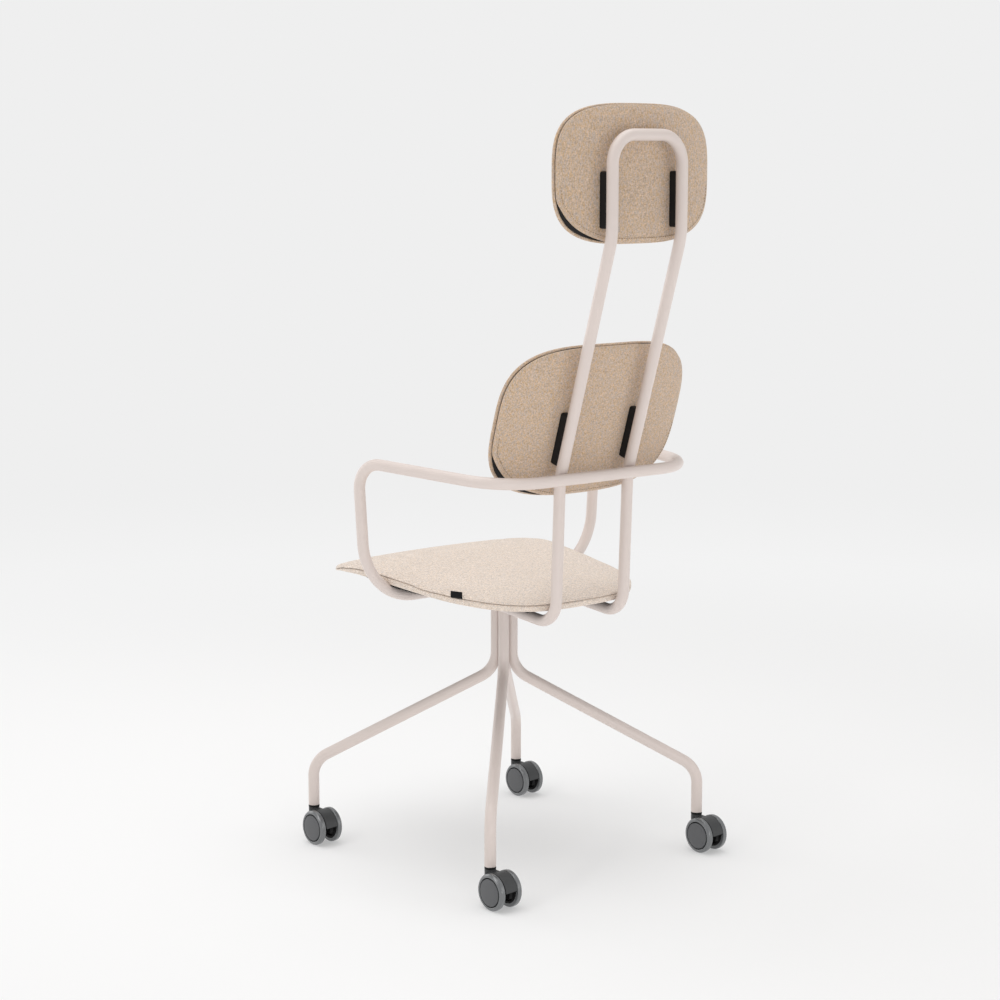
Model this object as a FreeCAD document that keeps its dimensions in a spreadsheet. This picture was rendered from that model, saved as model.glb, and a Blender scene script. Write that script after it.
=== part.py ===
import FreeCAD, Part
import math
import os
import Sketcher
from FreeCAD import Placement, Rotation, Vector

# High-backed conference chair on a four-legged swivel base with twin-wheel casters.
# Millimetres. Z = 0 is the floor, +Y is the rear of the chair, +X is the sitter's left.

X_AXIS = Vector(1, 0, 0)
Y_AXIS = Vector(0, 1, 0)
Z_AXIS = Vector(0, 0, 1)
SIDES = (("left", 1), ("right", -1))
LENGTH_TOLERANCE = 1e-4
VOLUME_TOLERANCE = 1e-3
# Where an outline is drawn before its constraints pull it into place
OUTLINE_START = 100.0

SIZES = (
    # Bent steel tube, shared by the legs, the back frame and the arms
    ("tube_diameter", 19.0, "outside diameter of every bent tube"),
    ("tube_wall", 2.0, "wall of every bent tube"),
    ("weld_gap", 0.05, "root gap left between welded tubes"),
    ("seat_gap", 0.1, "gap between stacked pieces that are screwed or glued"),
    ("layer_gap", 0.4, "gap between the curved layers of a pad"),
    # Four-legged base
    ("leg_reach", 333.0, "swivel axis to the foot of a leg"),
    ("base_turn", 0.9, "base swivelled against the seat in degrees"),
    ("leg_foot_height", 64.0, "floor to the cut end of a leg"),
    ("leg_knee_height", 142.0, "floor to the corner of the knee"),
    ("leg_slope", 27.95, "slope of the leg in degrees"),
    ("leg_knee_bend", 45.0, "bend radius of the knee"),
    ("leg_top_bend", 50.0, "bend radius where the leg leaves the column"),
    ("column_gap", 0.2, "gap between neighbouring tubes of the column"),
    ("column_top", 424.0, "floor to the top of the four tubes"),
    # Swivel
    ("hub_diameter", 60.0, "disc welded on the four tubes"),
    ("hub_thickness", 6.0, "thickness of that disc"),
    ("spindle_diameter", 20.0, "swivel spindle"),
    ("spindle_length", 26.4, "spindle above the disc"),
    ("thrust_diameter", 46.0, "thrust washer under the housing"),
    ("thrust_thickness", 2.0, "thickness of the thrust washer"),
    ("swivel_play", 0.2, "axial play of the swivel"),
    ("housing_diameter", 44.0, "swivel housing welded in the plate"),
    ("bush_wall", 3.0, "wall of the plastic swivel bush"),
    ("running_gap", 0.05, "radial gap of every running fit"),
    ("cap_diameter", 36.0, "washer that holds the seat on the spindle"),
    ("cap_thickness", 3.0, "thickness of that washer"),
    ("cap_bolt_diameter", 10.0, "bolt in the top of the spindle"),
    ("cap_bolt_length", 18.0, "bolt shank in the spindle"),
    ("cap_bolt_head", 17.0, "diameter of the bolt head"),
    ("cap_bolt_head_height", 5.0, "height of the bolt head"),
    ("plate_length", 100.0, "seat plate, front to rear"),
    ("plate_thickness", 6.0, "thickness of the seat plate"),
    ("plate_drop", 2.0, "middle of the plate below the middle of the runs"),
    # Casters
    ("wheel_diameter", 60.0, "over the tread"),
    ("wheel_width", 11.5, "width of one wheel"),
    ("wheel_disc", 22.0, "radius of the raised face of the wheel"),
    ("wheel_rim", 24.0, "radius of the core under the tread"),
    ("wheel_rim_wall", 3.5, "wall of the core under the tread"),
    ("wheel_web", 4.0, "thickness of the core's closed face"),
    ("wheel_groove", 2.5, "depth of the ring groove beside the raised face"),
    ("wheel_boss", 8.0, "radius of the core's boss"),
    ("tread_inset", 1.0, "tread set in from the faces of the wheel"),
    ("tread_round", 3.5, "rounding of the tread's shoulders"),
    ("hood_width", 23.0, "caster hood between the wheels"),
    ("hood_radius", 29.0, "outside radius of the hood"),
    ("hood_wall", 4.0, "wall of the hood"),
    ("hood_web", 6.0, "web inside the hood"),
    ("hood_start", 128.0, "hood's front end, degrees from the rear"),
    ("hood_end", 5.0, "hood's rear end, degrees from the rear"),
    ("wheel_side_gap", 0.4, "gap between a wheel and the hood"),
    ("caster_trail", 24.0, "axle behind the stem"),
    ("axle_diameter", 6.0, "caster axle"),
    ("axle_end_gap", 0.6, "axle end to the bottom of its bore"),
    ("stem_diameter", 8.0, "caster stem"),
    ("stem_grip", 36.0, "stem inside the leg"),
    ("stem_bottom", 36.0, "floor to the lower end of the stem"),
    ("hood_neck", 18.6, "diameter of the hood's neck below the leg"),
    ("bridge_width", 16.0, "width of the bridge from that neck to the hood"),
    ("bridge_drop", 2.4, "top of the neck to the top of the bridge"),
    ("bridge_height", 3.5, "height of the bridge"),
    ("socket_flange", 3.6, "flange of the plastic socket in the leg"),
    ("socket_length", 40.0, "socket inside the leg"),
    ("hood_neck_gap", 0.5, "hood's neck to socket flange"),
    # Back frame, one tube
    ("frame_half_spacing", 74.5, "chair's middle to the middle of an upright"),
    ("run_slope", 5.5, "rise of the runs under the seat in degrees"),
    ("run_front", -150.0, "front end of the runs"),
    ("heel_back", 216.7, "corner where runs turn up, behind the swivel axis"),
    ("heel_height", 430.1, "floor to that corner"),
    ("heel_bend", 38.0, "bend radius there"),
    ("waist_height", 672.4, "floor to the bend at the arms"),
    ("waist_back", 226.2, "that bend behind the swivel axis"),
    ("waist_bend", 100.0, "bend radius there"),
    ("lean", 17.0, "lean of the back in degrees"),
    ("neck_height", 1060.0, "floor to the bend below the headrest"),
    ("neck_bend", 130.0, "bend radius there"),
    ("frame_top", 1217.0, "floor to the middle of the top tube"),
    ("frame_top_bend", 45.0, "bend radius of the top corners"),
    ("plug_flange", 3.0, "flange of the plugs in the run ends"),
    ("plug_length", 14.0, "plug inside the tube"),
    # Arms, one tube
    ("arm_post_y", -60.0, "posts in front of the swivel axis"),
    ("arm_low_height", 451.0, "floor to the middle of the arm tube under the seat"),
    ("arm_low_half", 249.7, "half width at the low corner"),
    ("arm_low_bend", 106.0, "bend radius there"),
    ("arm_front_height", 688.0, "floor to the top front corner"),
    ("arm_front_half", 265.0, "half width at the top front corner"),
    ("arm_front_bend", 46.0, "bend radius there"),
    ("arm_rear_height", 673.0, "floor to the rear of the arms"),
    ("arm_rear_half", 209.0, "half width at the rear corner"),
    ("arm_rear_bend", 94.0, "bend radius there"),
    # Pads: half sizes, and the layers from the rear or underside outwards
    ("headrest_half_width", 164.0, "headrest"),
    ("headrest_half_height", 108.3, "headrest"),
    ("headrest_centre", 1157.0, "floor to the middle of the headrest"),
    ("backrest_half_width", 198.0, "backrest"),
    ("backrest_half_height", 130.0, "backrest"),
    ("backrest_centre", 755.0, "floor to the frame point behind the backrest's middle"),
    ("pad_roundness", 3.3, "exponent of the pad outline"),
    ("pad_low_roundness", 2.6, "exponent of the rear cover's lower corners"),
    ("headrest_hollow", 1550.0, "radius that the headrest is bent to"),
    ("backrest_hollow", 1200.0, "radius that the backrest is bent to"),
    ("pad_stand_off", 9.0, "frame tube to the rear cover at the chair's middle"),
    ("cover_thickness", 4.5, "upholstered rear cover"),
    ("cover_crown", 1.0, "fullness of the rear cover"),
    ("cover_inset", 2.0, "rear cover set in from the cushion's outline"),
    ("shell_thickness", 4.0, "shell between cover and cushion"),
    ("shell_inset", 3.0, "shell set in from the cushion's outline"),
    ("cushion_edge", 5.0, "cushion at its edge"),
    ("cushion_crown", 16.0, "extra thickness of the cushion in its middle"),
    ("edge_bulge", 1.5, "fullness of every upholstered edge"),
    ("bracket_width", 15.0, "brackets between pads and tubes"),
    ("bracket_length", 88.0, "head and back brackets"),
    ("bracket_corner", 4.0, "rounding of their corners"),
    ("bracket_wrap", 3.0, "bracket hollowed over the tube"),
    ("headrest_bracket_drop", 40.0, "head brackets below the headrest's middle"),
    ("backrest_bracket_drop", 24.0, "back brackets below the backrest's middle"),
    ("screw_spacing", 52.0, "two screws of a head or back bracket"),
    ("screw_diameter", 5.0, "bracket screw"),
    ("screw_head", 10.0, "diameter of its countersunk head"),
    ("screw_head_height", 2.6, "height of its head"),
    ("screw_reach", 5.0, "screw in the bracket"),
    ("screw_gap", 0.15, "gap round the screws"),
    # Seat
    ("seat_front", -248.0, "front edge"),
    ("seat_rear", 204.0, "rear edge"),
    ("seat_half_width", 201.0, "half way along the seat"),
    ("seat_taper", 24.0, "half width gained from the middle to the front"),
    ("seat_front_roundness", 5.2, "exponent of the seat outline's front corners"),
    ("seat_rear_roundness", 3.2, "exponent of the seat outline's rear corners"),
    ("seat_stand_off", 10.0, "run to the underside of the seat"),
    ("seat_roll_start", -110.0, "where the seat starts to roll over"),
    ("seat_roll_radius", 408.0, "radius of the rolled front"),
    ("pan_thickness", 3.5, "black pan under the seat"),
    ("pan_inset", 4.0, "pan set in from the outline"),
    ("band_thickness", 6.4, "upholstered band of the seat"),
    ("seat_cushion_edge", 4.0, "seat cushion at its edge"),
    ("seat_cushion_crown", 10.0, "extra thickness of the seat cushion"),
    ("seat_bracket_length", 200.0, "brackets on the runs"),
    ("seat_bracket_centre", 60.0, "their middle behind the swivel axis"),
    ("seat_screw_spacing", 150.0, "two screws of a seat bracket"),
    ("tab_width", 22.0, "plain tab at the seat's left edge"),
    ("tab_height", 13.0, "height of the tab"),
    ("tab_thickness", 1.0, "thickness of the tab"),
    ("tab_back", 96.0, "tab behind the swivel axis"),
    ("tab_below", 2.0, "tab below the seam that it is sewn into"),
    ("tab_clearance", 0.9, "tab to the seat's edge"),
)

doc = FreeCAD.newDocument("conference_chair")
sheet = doc.addObject("Spreadsheet::Sheet", "sizes")
for row, (alias, value, note) in enumerate(SIZES, start=1):
    sheet.set(f"A{row}", alias)
    sheet.set(f"B{row}", str(value))
    sheet.setAlias(f"B{row}", alias)
    sheet.set(f"C{row}", note)
doc.recompute()

nodes = []


def size(alias):
    """The number in the sheet's cell of this name."""
    return float(sheet.get(alias))


# Where things are: a few places worked out from the driving sizes
TUBE_RADIUS = size("tube_diameter") / 2
COLUMN_RADIUS = (size("tube_diameter") + size("column_gap")) / math.sqrt(2)
LEG_TURNS = [math.radians(45 + 90 * quarter + size("base_turn")) for quarter in range(4)]
RUN_RISE = math.tan(math.radians(size("run_slope")))
LEAN = math.radians(size("lean"))
NECK_BACK = size("waist_back") + (size("neck_height") - size("waist_height")) * math.tan(LEAN)
WHEEL_RADIUS = size("wheel_diameter") / 2


def cell(text):
    """Turn words that are names of sizes into references to the sheet."""
    known = {alias for alias, value, note in SIZES}
    words = text.replace("(", " ( ").replace(")", " ) ").split()
    return " ".join(f"sizes.{word}" if word in known else word for word in words)


def node(feature, label):
    """Name a finished sub-part and list it for writing."""
    feature.Label = label
    nodes.append(feature)
    return feature


def solid(label, shape, placement=Placement()):
    """A sub-part whose shape is worked out here from the sheet's sizes."""
    feature = doc.addObject("Part::Feature", label)
    feature.Shape = shape
    feature.Placement = placement
    return node(feature, label)


def cylinder(name, radius, height, placement=Placement()):
    """A cylinder along its own Z whose radius and height are formulas of the sheet."""
    feature = doc.addObject("Part::Cylinder", name)
    feature.setExpression("Radius", cell(radius))
    feature.setExpression("Height", cell(height))
    feature.Placement = placement
    return feature


def box(name, length, width, height, placement=Placement()):
    """A box from its own corner whose sides are formulas of the sheet."""
    feature = doc.addObject("Part::Box", name)
    feature.setExpression("Length", cell(length))
    feature.setExpression("Width", cell(width))
    feature.setExpression("Height", cell(height))
    feature.Placement = placement
    return feature


def fuse(name, features):
    """Several solids joined into one."""
    feature = doc.addObject("Part::MultiFuse", name)
    feature.Shapes = features
    feature.Refine = True
    return feature


def cut(name, base, tools):
    """A solid less the tools, one after the other."""
    for number, tool in enumerate(tools, start=1):
        feature = doc.addObject("Part::Cut", f"{name}_cut_{number}")
        feature.Base = base
        feature.Tool = tool
        base = feature
    return base


def origin_plane(body, role):
    """The body's own origin plane or axis of this role."""
    return next(item for item in body.Origin.OriginFeatures if item.Role == role)


def turned(label, outline, placement=Placement()):
    """A body turned about its own Z from (radius, height) corners given as formulas."""
    body = doc.addObject("PartDesign::Body", label)
    sketch = body.newObject("Sketcher::SketchObject", f"{label}_profile")
    sketch.AttachmentSupport = [(origin_plane(body, "XZ_Plane"), "")]
    sketch.MapMode = "FlatFace"
    count = len(outline)
    for number in range(count):
        turn = 2 * math.pi * number / count
        after = 2 * math.pi * (number + 1) / count
        start = Vector(2 + math.cos(turn), math.sin(turn), 0) * OUTLINE_START
        end = Vector(2 + math.cos(after), math.sin(after), 0) * OUTLINE_START
        sketch.addGeometry(Part.LineSegment(start, end), False)
    for number in range(count):
        sketch.addConstraint(Sketcher.Constraint("Coincident", number, 2, (number + 1) % count, 1))
    for number, (radius, height) in enumerate(outline):
        across = sketch.addConstraint(Sketcher.Constraint("DistanceX", -1, 1, number, 1, 1.0))
        sketch.setExpression(f"Constraints[{across}]", cell(radius))
        along = sketch.addConstraint(Sketcher.Constraint("DistanceY", -1, 1, number, 1, 1.0))
        sketch.setExpression(f"Constraints[{along}]", cell(height))
    turn = body.newObject("PartDesign::Revolution", f"{label}_turn")
    turn.Profile = sketch
    turn.ReferenceAxis = (sketch, ["V_Axis"])
    turn.Angle = 360.0
    body.Placement = placement
    return body


def rounded(body, radius, edge_radius):
    """Round the body's circular edges that have this radius."""
    doc.recompute()
    base = body.Tip
    names = []
    for number, edge in enumerate(base.Shape.Edges, start=1):
        if isinstance(edge.Curve, Part.Circle) and abs(edge.Curve.Radius - edge_radius) < LENGTH_TOLERANCE:
            names.append(f"Edge{number}")
    feature = body.newObject("PartDesign::Fillet", f"{body.Name}_rounding")
    feature.Base = (base, names)
    feature.setExpression("Radius", cell(radius))
    return body


def group(label, template, placements):
    """Copies of one finished piece as separate solids of one node."""
    doc.recompute()
    copies = []
    for placement in placements:
        copy = template.Shape.copy()
        copy.Placement = placement
        copies.append(copy)
    return solid(label, Part.makeCompound(copies))


def bent_path(corners):
    """Straight runs joined by tangent arcs through (point, bend radius) corners."""
    edges = []
    start = corners[0][0]
    for (before, skip), (corner, radius), (after, leave) in zip(corners, corners[1:], corners[2:]):
        arriving = (corner - before).normalize()
        leaving = (after - corner).normalize()
        half_turn = arriving.getAngle(leaving) / 2
        tangent = radius * math.tan(half_turn)
        first = corner - arriving * tangent
        last = corner + leaving * tangent
        inward = (leaving - arriving).normalize()
        middle = corner + inward * (radius / math.cos(half_turn) - radius)
        edges.append(Part.LineSegment(start, first).toShape())
        edges.append(Part.Arc(first, middle, last).toShape())
        start = last
    edges.append(Part.LineSegment(start, corners[-1][0]).toShape())
    return Part.Wire(edges)


def bent_bar(corners, radii):
    """Round bar along a bent path, or a tube where an inside radius follows the outside one."""
    path = bent_path(corners)
    start = corners[0][0]
    heading = corners[1][0] - start
    rings = [Part.Wire(Part.makeCircle(radius, start, heading)) for radius in radii]
    section = Part.makeFace(rings, "Part::FaceMakerBullseye")
    bar = path.makePipe(section)
    expected = section.Area * path.Length
    if abs(bar.Volume - expected) > VOLUME_TOLERANCE * expected:
        raise RuntimeError("a bent bar's volume differs from its section times its length")
    return bar


def bent_tube(corners):
    """Hollow tube along a bent path."""
    return bent_bar(corners, (TUBE_RADIUS, TUBE_RADIUS - size("tube_wall")))


def mirrored(point):
    """The point on the other side of the chair."""
    return Vector(-point.x, point.y, point.z)


def there_and_back(corners):
    """Corners of one side, then the same corners mirrored in reverse order."""
    return corners + [(mirrored(point), radius) for point, radius in reversed(corners)]


def run_height(y):
    """Middle of the runs under the seat, at this distance behind the swivel axis."""
    return size("heel_height") + (size("heel_back") - y) * RUN_RISE


def leg_tubes():
    """Four legs that rise together as the column, each bent out to its caster."""
    slope = math.tan(math.radians(size("leg_slope")))
    shoulder = size("leg_knee_height") + (size("leg_reach") - COLUMN_RADIUS) * slope
    for number, turn in enumerate(LEG_TURNS, start=1):
        out = Vector(math.cos(turn), math.sin(turn), 0)
        corners = [
            (out * COLUMN_RADIUS + Z_AXIS * size("column_top"), 0),
            (out * COLUMN_RADIUS + Z_AXIS * shoulder, size("leg_top_bend")),
            (out * size("leg_reach") + Z_AXIS * size("leg_knee_height"), size("leg_knee_bend")),
            (out * size("leg_reach") + Z_AXIS * size("leg_foot_height"), 0),
        ]
        solid(f"leg_tube_{number}", bent_tube(corners))


def swivel():
    """Disc, spindle, thrust washer, bush, housing and the bolt that holds the seat down."""
    on_column = Placement(Z_AXIS * size("column_top"), Rotation())
    disc = turned("hub_disc", [
        ("spindle_diameter / 2 + weld_gap", "0"),
        ("hub_diameter / 2", "0"),
        ("hub_diameter / 2", "hub_thickness"),
        ("spindle_diameter / 2 + weld_gap", "hub_thickness"),
    ], on_column)
    node(disc, "hub_disc")

    spindle_top = "hub_thickness + spindle_length"
    spindle = turned("swivel_spindle", [
        ("0", "0"),
        ("spindle_diameter / 2", "0"),
        ("spindle_diameter / 2", spindle_top),
        ("cap_bolt_diameter / 2 + screw_gap", spindle_top),
        ("cap_bolt_diameter / 2 + screw_gap", f"{spindle_top} - cap_bolt_length - seat_gap"),
        ("0", f"{spindle_top} - cap_bolt_length - seat_gap"),
    ], on_column)
    node(spindle, "swivel_spindle")

    thrust = turned("thrust_washer", [
        ("spindle_diameter / 2 + seat_gap", "hub_thickness + seat_gap"),
        ("thrust_diameter / 2", "hub_thickness + seat_gap"),
        ("thrust_diameter / 2", "hub_thickness + seat_gap + thrust_thickness"),
        ("spindle_diameter / 2 + seat_gap", "hub_thickness + seat_gap + thrust_thickness"),
    ], on_column)
    node(thrust, "thrust_washer")

    bush_inside = "spindle_diameter / 2 + running_gap"
    bush_outside = f"{bush_inside} + bush_wall"
    housing_bottom = "hub_thickness + seat_gap + thrust_thickness + swivel_play"
    housing_top = f"{spindle_top} - swivel_play - seat_gap"
    housing = turned("swivel_housing", [
        (f"{bush_outside} + seat_gap", housing_bottom),
        ("housing_diameter / 2", housing_bottom),
        ("housing_diameter / 2", housing_top),
        (f"{bush_outside} + seat_gap", housing_top),
    ], on_column)
    node(housing, "swivel_housing")
    bush = turned("swivel_bush", [
        (bush_inside, housing_bottom),
        (bush_outside, housing_bottom),
        (bush_outside, housing_top),
        (bush_inside, housing_top),
    ], on_column)
    node(bush, "swivel_bush")

    cap_bottom = f"{spindle_top} + seat_gap"
    cap_top = f"{cap_bottom} + cap_thickness"
    cap = turned("retaining_washer", [
        ("cap_bolt_diameter / 2 + screw_gap", cap_bottom),
        ("cap_diameter / 2", cap_bottom),
        ("cap_diameter / 2", cap_top),
        ("cap_bolt_diameter / 2 + screw_gap", cap_top),
    ], on_column)
    node(cap, "retaining_washer")
    bolt = turned("swivel_bolt", [
        ("0", f"{spindle_top} - cap_bolt_length"),
        ("cap_bolt_diameter / 2", f"{spindle_top} - cap_bolt_length"),
        ("cap_bolt_diameter / 2", f"{cap_top} + seat_gap"),
        ("cap_bolt_head / 2", f"{cap_top} + seat_gap"),
        ("cap_bolt_head / 2", f"{cap_top} + seat_gap + cap_bolt_head_height"),
        ("0", f"{cap_top} + seat_gap + cap_bolt_head_height"),
    ], on_column)
    node(bolt, "swivel_bolt")


def run_cylinder(name, side, gap):
    """The straight run under the seat as a solid rod, a gap thicker than the tube."""
    back = size("heel_back")
    start = Vector(side * size("frame_half_spacing"), back, run_height(back))
    forward = Rotation(X_AXIS, 90 - size("run_slope"))
    length = "heel_back - run_front + tube_diameter"
    return cylinder(name, f"tube_diameter / 2 + {gap}", length, Placement(start, forward))


def seat_plate():
    """Flat plate welded between the two runs, with the swivel housing in its middle."""
    half_length = size("plate_length") / 2
    bottom = run_height(0) - size("plate_drop") - size("plate_thickness") / 2
    corner = Placement(Vector(-size("frame_half_spacing"), -half_length, bottom), Rotation())
    blank = box("plate_blank", "2 * frame_half_spacing", "plate_length", "plate_thickness", corner)
    hole = cylinder("plate_hole", "housing_diameter / 2 + weld_gap", "3 * plate_thickness",
                    Placement(Vector(0, 0, bottom - size("plate_thickness")), Rotation()))
    rods = [run_cylinder(f"plate_cope_{name}", side, "weld_gap") for name, side in SIDES]
    node(cut("seat_plate", blank, [hole] + rods), "seat_plate")


def frame_corners():
    """Corners of the back frame's tube, from one run's front end to the other's."""
    across = size("frame_half_spacing")
    return there_and_back([
        (Vector(across, size("run_front"), run_height(size("run_front"))), 0),
        (Vector(across, size("heel_back"), size("heel_height")), size("heel_bend")),
        (Vector(across, size("waist_back"), size("waist_height")), size("waist_bend")),
        (Vector(across, NECK_BACK, size("neck_height")), size("neck_bend")),
        (Vector(across, NECK_BACK, size("frame_top")), size("frame_top_bend")),
    ])


def behind_frame(height, distance):
    """Place, at this height, of a line across the chair at a distance behind the uprights' middles."""
    corner = Vector(0, size("waist_back"), size("waist_height"))
    below = (corner - Vector(0, size("heel_back"), size("heel_height"))).normalize()
    above = Vector(0, math.sin(LEAN), math.cos(LEAN))
    bend = size("waist_bend")
    tangent = bend * math.tan(below.getAngle(above) / 2)
    first = corner - below * tangent + below.cross(X_AXIS) * distance
    last = corner + above * tangent + above.cross(X_AXIS) * distance
    if height <= first.z:
        return first.y + (height - first.z) * below.y / below.z
    if height >= last.z:
        return last.y + (height - last.z) * above.y / above.z
    centre = first + below.cross(X_AXIS) * (bend - distance)
    return centre.y - math.sqrt((bend - distance) ** 2 - (height - centre.z) ** 2)


def back_frame():
    """One tube: both runs under the seat, both uprights and the loop behind the headrest."""
    across = size("frame_half_spacing")
    solid("back_frame_tube", bent_tube(frame_corners()))

    plug = turned("run_plug", [
        ("0", "0 - plug_flange"),
        ("tube_diameter / 2", "0 - plug_flange"),
        ("tube_diameter / 2", "0"),
        ("tube_diameter / 2 - tube_wall - weld_gap", "0"),
        ("tube_diameter / 2 - tube_wall - weld_gap", "plug_length"),
        ("0", "plug_length"),
    ])
    rearward = Rotation(X_AXIS, -90 - size("run_slope"))
    ends = [Vector(side * across, size("run_front"), run_height(size("run_front"))) for name, side in SIDES]
    group("run_end_plugs", plug, [Placement(end, rearward) for end in ends])


def arms():
    """One tube: from the left run up, round behind the uprights and down to the right run."""
    rear = behind_frame(size("arm_rear_height"), size("tube_diameter") + size("weld_gap"))
    post = size("arm_post_y")
    low = size("arm_low_height")
    corners = [
        (Vector(size("frame_half_spacing"), post, low), 0),
        (Vector(size("arm_low_half"), post, low), size("arm_low_bend")),
        (Vector(size("arm_front_half"), post, size("arm_front_height")), size("arm_front_bend")),
        (Vector(size("arm_rear_half"), rear, size("arm_rear_height")), size("arm_rear_bend")),
    ]
    whole = bent_tube(there_and_back(corners))
    rods = [run_cylinder(f"arm_cope_{name}", side, "weld_gap") for name, side in SIDES]
    doc.recompute()
    pieces = whole.cut(Part.makeCompound([rod.Shape for rod in rods]))
    longest = max(pieces.Solids, key=lambda piece: piece.Volume)
    solid("arm_tube", longest)


def caster_pieces():
    """Four casters that trail to the rear, each with two free wheels on one axle."""
    inside = "hood_width / 2 + wheel_side_gap"
    blind = "wheel_width - wheel_web"
    axle_half = f"{inside} + {blind} - axle_end_gap"
    neck_top = size("leg_foot_height") - size("socket_flange") - size("hood_neck_gap")
    for number, turn in enumerate(LEG_TURNS, start=1):
        stem = Vector(math.cos(turn), math.sin(turn), 0) * size("leg_reach")
        axle = stem + Vector(0, size("caster_trail"), WHEEL_RADIUS)
        caster_housing(number, stem, axle, neck_top)
        pin = cylinder(f"caster_{number}_axle", "axle_diameter / 2", f"2 * ( {axle_half} )")
        half = size("hood_width") / 2 + size("wheel_side_gap") + size("wheel_width")
        half -= size("wheel_web") + size("axle_end_gap")
        pin.Placement = Placement(axle - X_AXIS * half, Rotation(Y_AXIS, 90))
        node(pin, f"caster_{number}_axle")
        for name, side in SIDES:
            offset = side * (size("hood_width") / 2 + size("wheel_side_gap"))
            place = Placement(axle + X_AXIS * offset, Rotation(Y_AXIS, 90 * side))
            caster_wheel(f"caster_{number}_{name}", place)


def caster_housing(number, stem, axle, neck_top):
    """Hood that wraps the gap between the wheels, its web, axle boss and neck."""
    name = f"caster_{number}_housing"
    along = Rotation(Y_AXIS, 90)
    half = size("hood_width") / 2
    left = axle - X_AXIS * half
    hood = cylinder(f"{name}_hood", "hood_radius", "hood_width", Placement(left, along))
    hollow = cylinder(f"{name}_hollow", "hood_radius - hood_wall", "hood_width", Placement(left, along))
    mouth = doc.addObject("Part::Cylinder", f"{name}_mouth")
    mouth.setExpression("Radius", cell("2 * hood_radius"))
    mouth.setExpression("Height", cell("hood_width"))
    mouth.setExpression("Angle", cell("360 - hood_start + hood_end"))
    start = Rotation(X_AXIS, size("hood_start"))
    facing = Rotation(Y_AXIS, Z_AXIS, X_AXIS, "ZXY")
    mouth.Placement = Placement(left, start.multiply(facing))
    ring = cut(f"{name}_band", hood, [hollow, mouth])
    web = cylinder(f"{name}_web", "hood_radius - hood_wall / 2", "hood_web",
                   Placement(axle - X_AXIS * (size("hood_web") / 2), along))
    web_cut = box(f"{name}_web_cut", "hood_width", "4 * hood_radius", "2 * hood_radius",
                  Placement(axle + Vector(-half, -2 * size("hood_radius"),
                                          -2 * size("hood_radius") - size("wheel_boss")), Rotation()))
    web = cut(f"{name}_web", web, [web_cut])
    boss = cylinder(f"{name}_boss", "wheel_boss", "hood_width", Placement(left, along))
    neck_bottom = size("stem_bottom") - size("hood_wall") / 2
    height = "leg_foot_height - socket_flange - hood_neck_gap - stem_bottom + hood_wall / 2"
    neck = cylinder(f"{name}_neck", "hood_neck / 2", height,
                    Placement(stem + Z_AXIS * neck_bottom, Rotation()))
    bridge_bottom = neck_top - size("bridge_drop") - size("bridge_height")
    bridge = box(f"{name}_bridge", "bridge_width", "caster_trail - wheel_boss", "bridge_height",
                 Placement(stem + Vector(-size("bridge_width") / 2, 0, bridge_bottom), Rotation()))
    whole = fuse(f"{name}_whole", [ring, web, boss, neck, bridge])
    axle_bore = cylinder(f"{name}_axle_bore", "axle_diameter / 2 + weld_gap", "hood_width",
                         Placement(left, along))
    bore_bottom = size("stem_bottom") - size("hood_neck_gap")
    stem_bore = cylinder(f"{name}_stem_bore", "stem_diameter / 2 + running_gap", "leg_foot_height",
                         Placement(stem + Z_AXIS * bore_bottom, Rotation()))
    node(cut(name, whole, [axle_bore, stem_bore]), name)


def caster_wheel(name, placement):
    """A core with a closed face, and the soft tread on its rim."""
    core = turned(f"{name}_wheel_core", [
        ("axle_diameter / 2 + running_gap", "0"),
        ("wheel_boss", "0"),
        ("wheel_boss", "wheel_width - wheel_web"),
        ("wheel_rim - wheel_rim_wall", "wheel_width - wheel_web"),
        ("wheel_rim - wheel_rim_wall", "tread_inset"),
        ("wheel_rim", "tread_inset"),
        ("wheel_rim", "wheel_width - wheel_groove"),
        ("wheel_disc", "wheel_width - wheel_groove"),
        ("wheel_disc", "wheel_width - tread_inset"),
        ("wheel_disc - tread_inset", "wheel_width"),
        ("0", "wheel_width"),
        ("0", "wheel_width - wheel_web"),
        ("axle_diameter / 2 + running_gap", "wheel_width - wheel_web"),
    ], placement)
    node(core, f"{name}_wheel_core")
    tread = turned(f"{name}_tread", [
        ("wheel_rim + weld_gap", "tread_inset"),
        ("wheel_diameter / 2", "tread_inset"),
        ("wheel_diameter / 2", "wheel_width - tread_inset"),
        ("wheel_rim + weld_gap", "wheel_width - tread_inset"),
    ], placement)
    rounded(tread, "tread_round", WHEEL_RADIUS)
    node(tread, f"{name}_tread")


def caster_sockets():
    """Plastic sockets in the leg ends and the steel stems that they hold."""
    socket = turned("socket", [
        ("stem_diameter / 2 + weld_gap", "0 - socket_flange"),
        ("tube_diameter / 2", "0 - socket_flange"),
        ("tube_diameter / 2", "0"),
        ("tube_diameter / 2 - tube_wall - weld_gap", "0"),
        ("tube_diameter / 2 - tube_wall - weld_gap", "socket_length"),
        ("stem_diameter / 2 + weld_gap", "socket_length"),
    ])
    stem = turned("stem", [
        ("0", "stem_bottom - leg_foot_height"),
        ("stem_diameter / 2", "stem_bottom - leg_foot_height"),
        ("stem_diameter / 2", "stem_grip"),
        ("0", "stem_grip"),
    ])
    feet = []
    for turn in LEG_TURNS:
        foot = Vector(math.cos(turn), math.sin(turn), 0) * size("leg_reach")
        feet.append(Placement(foot + Z_AXIS * size("leg_foot_height"), Rotation()))
    group("caster_sockets", socket, feet)
    group("caster_stems", stem, feet)


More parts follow.
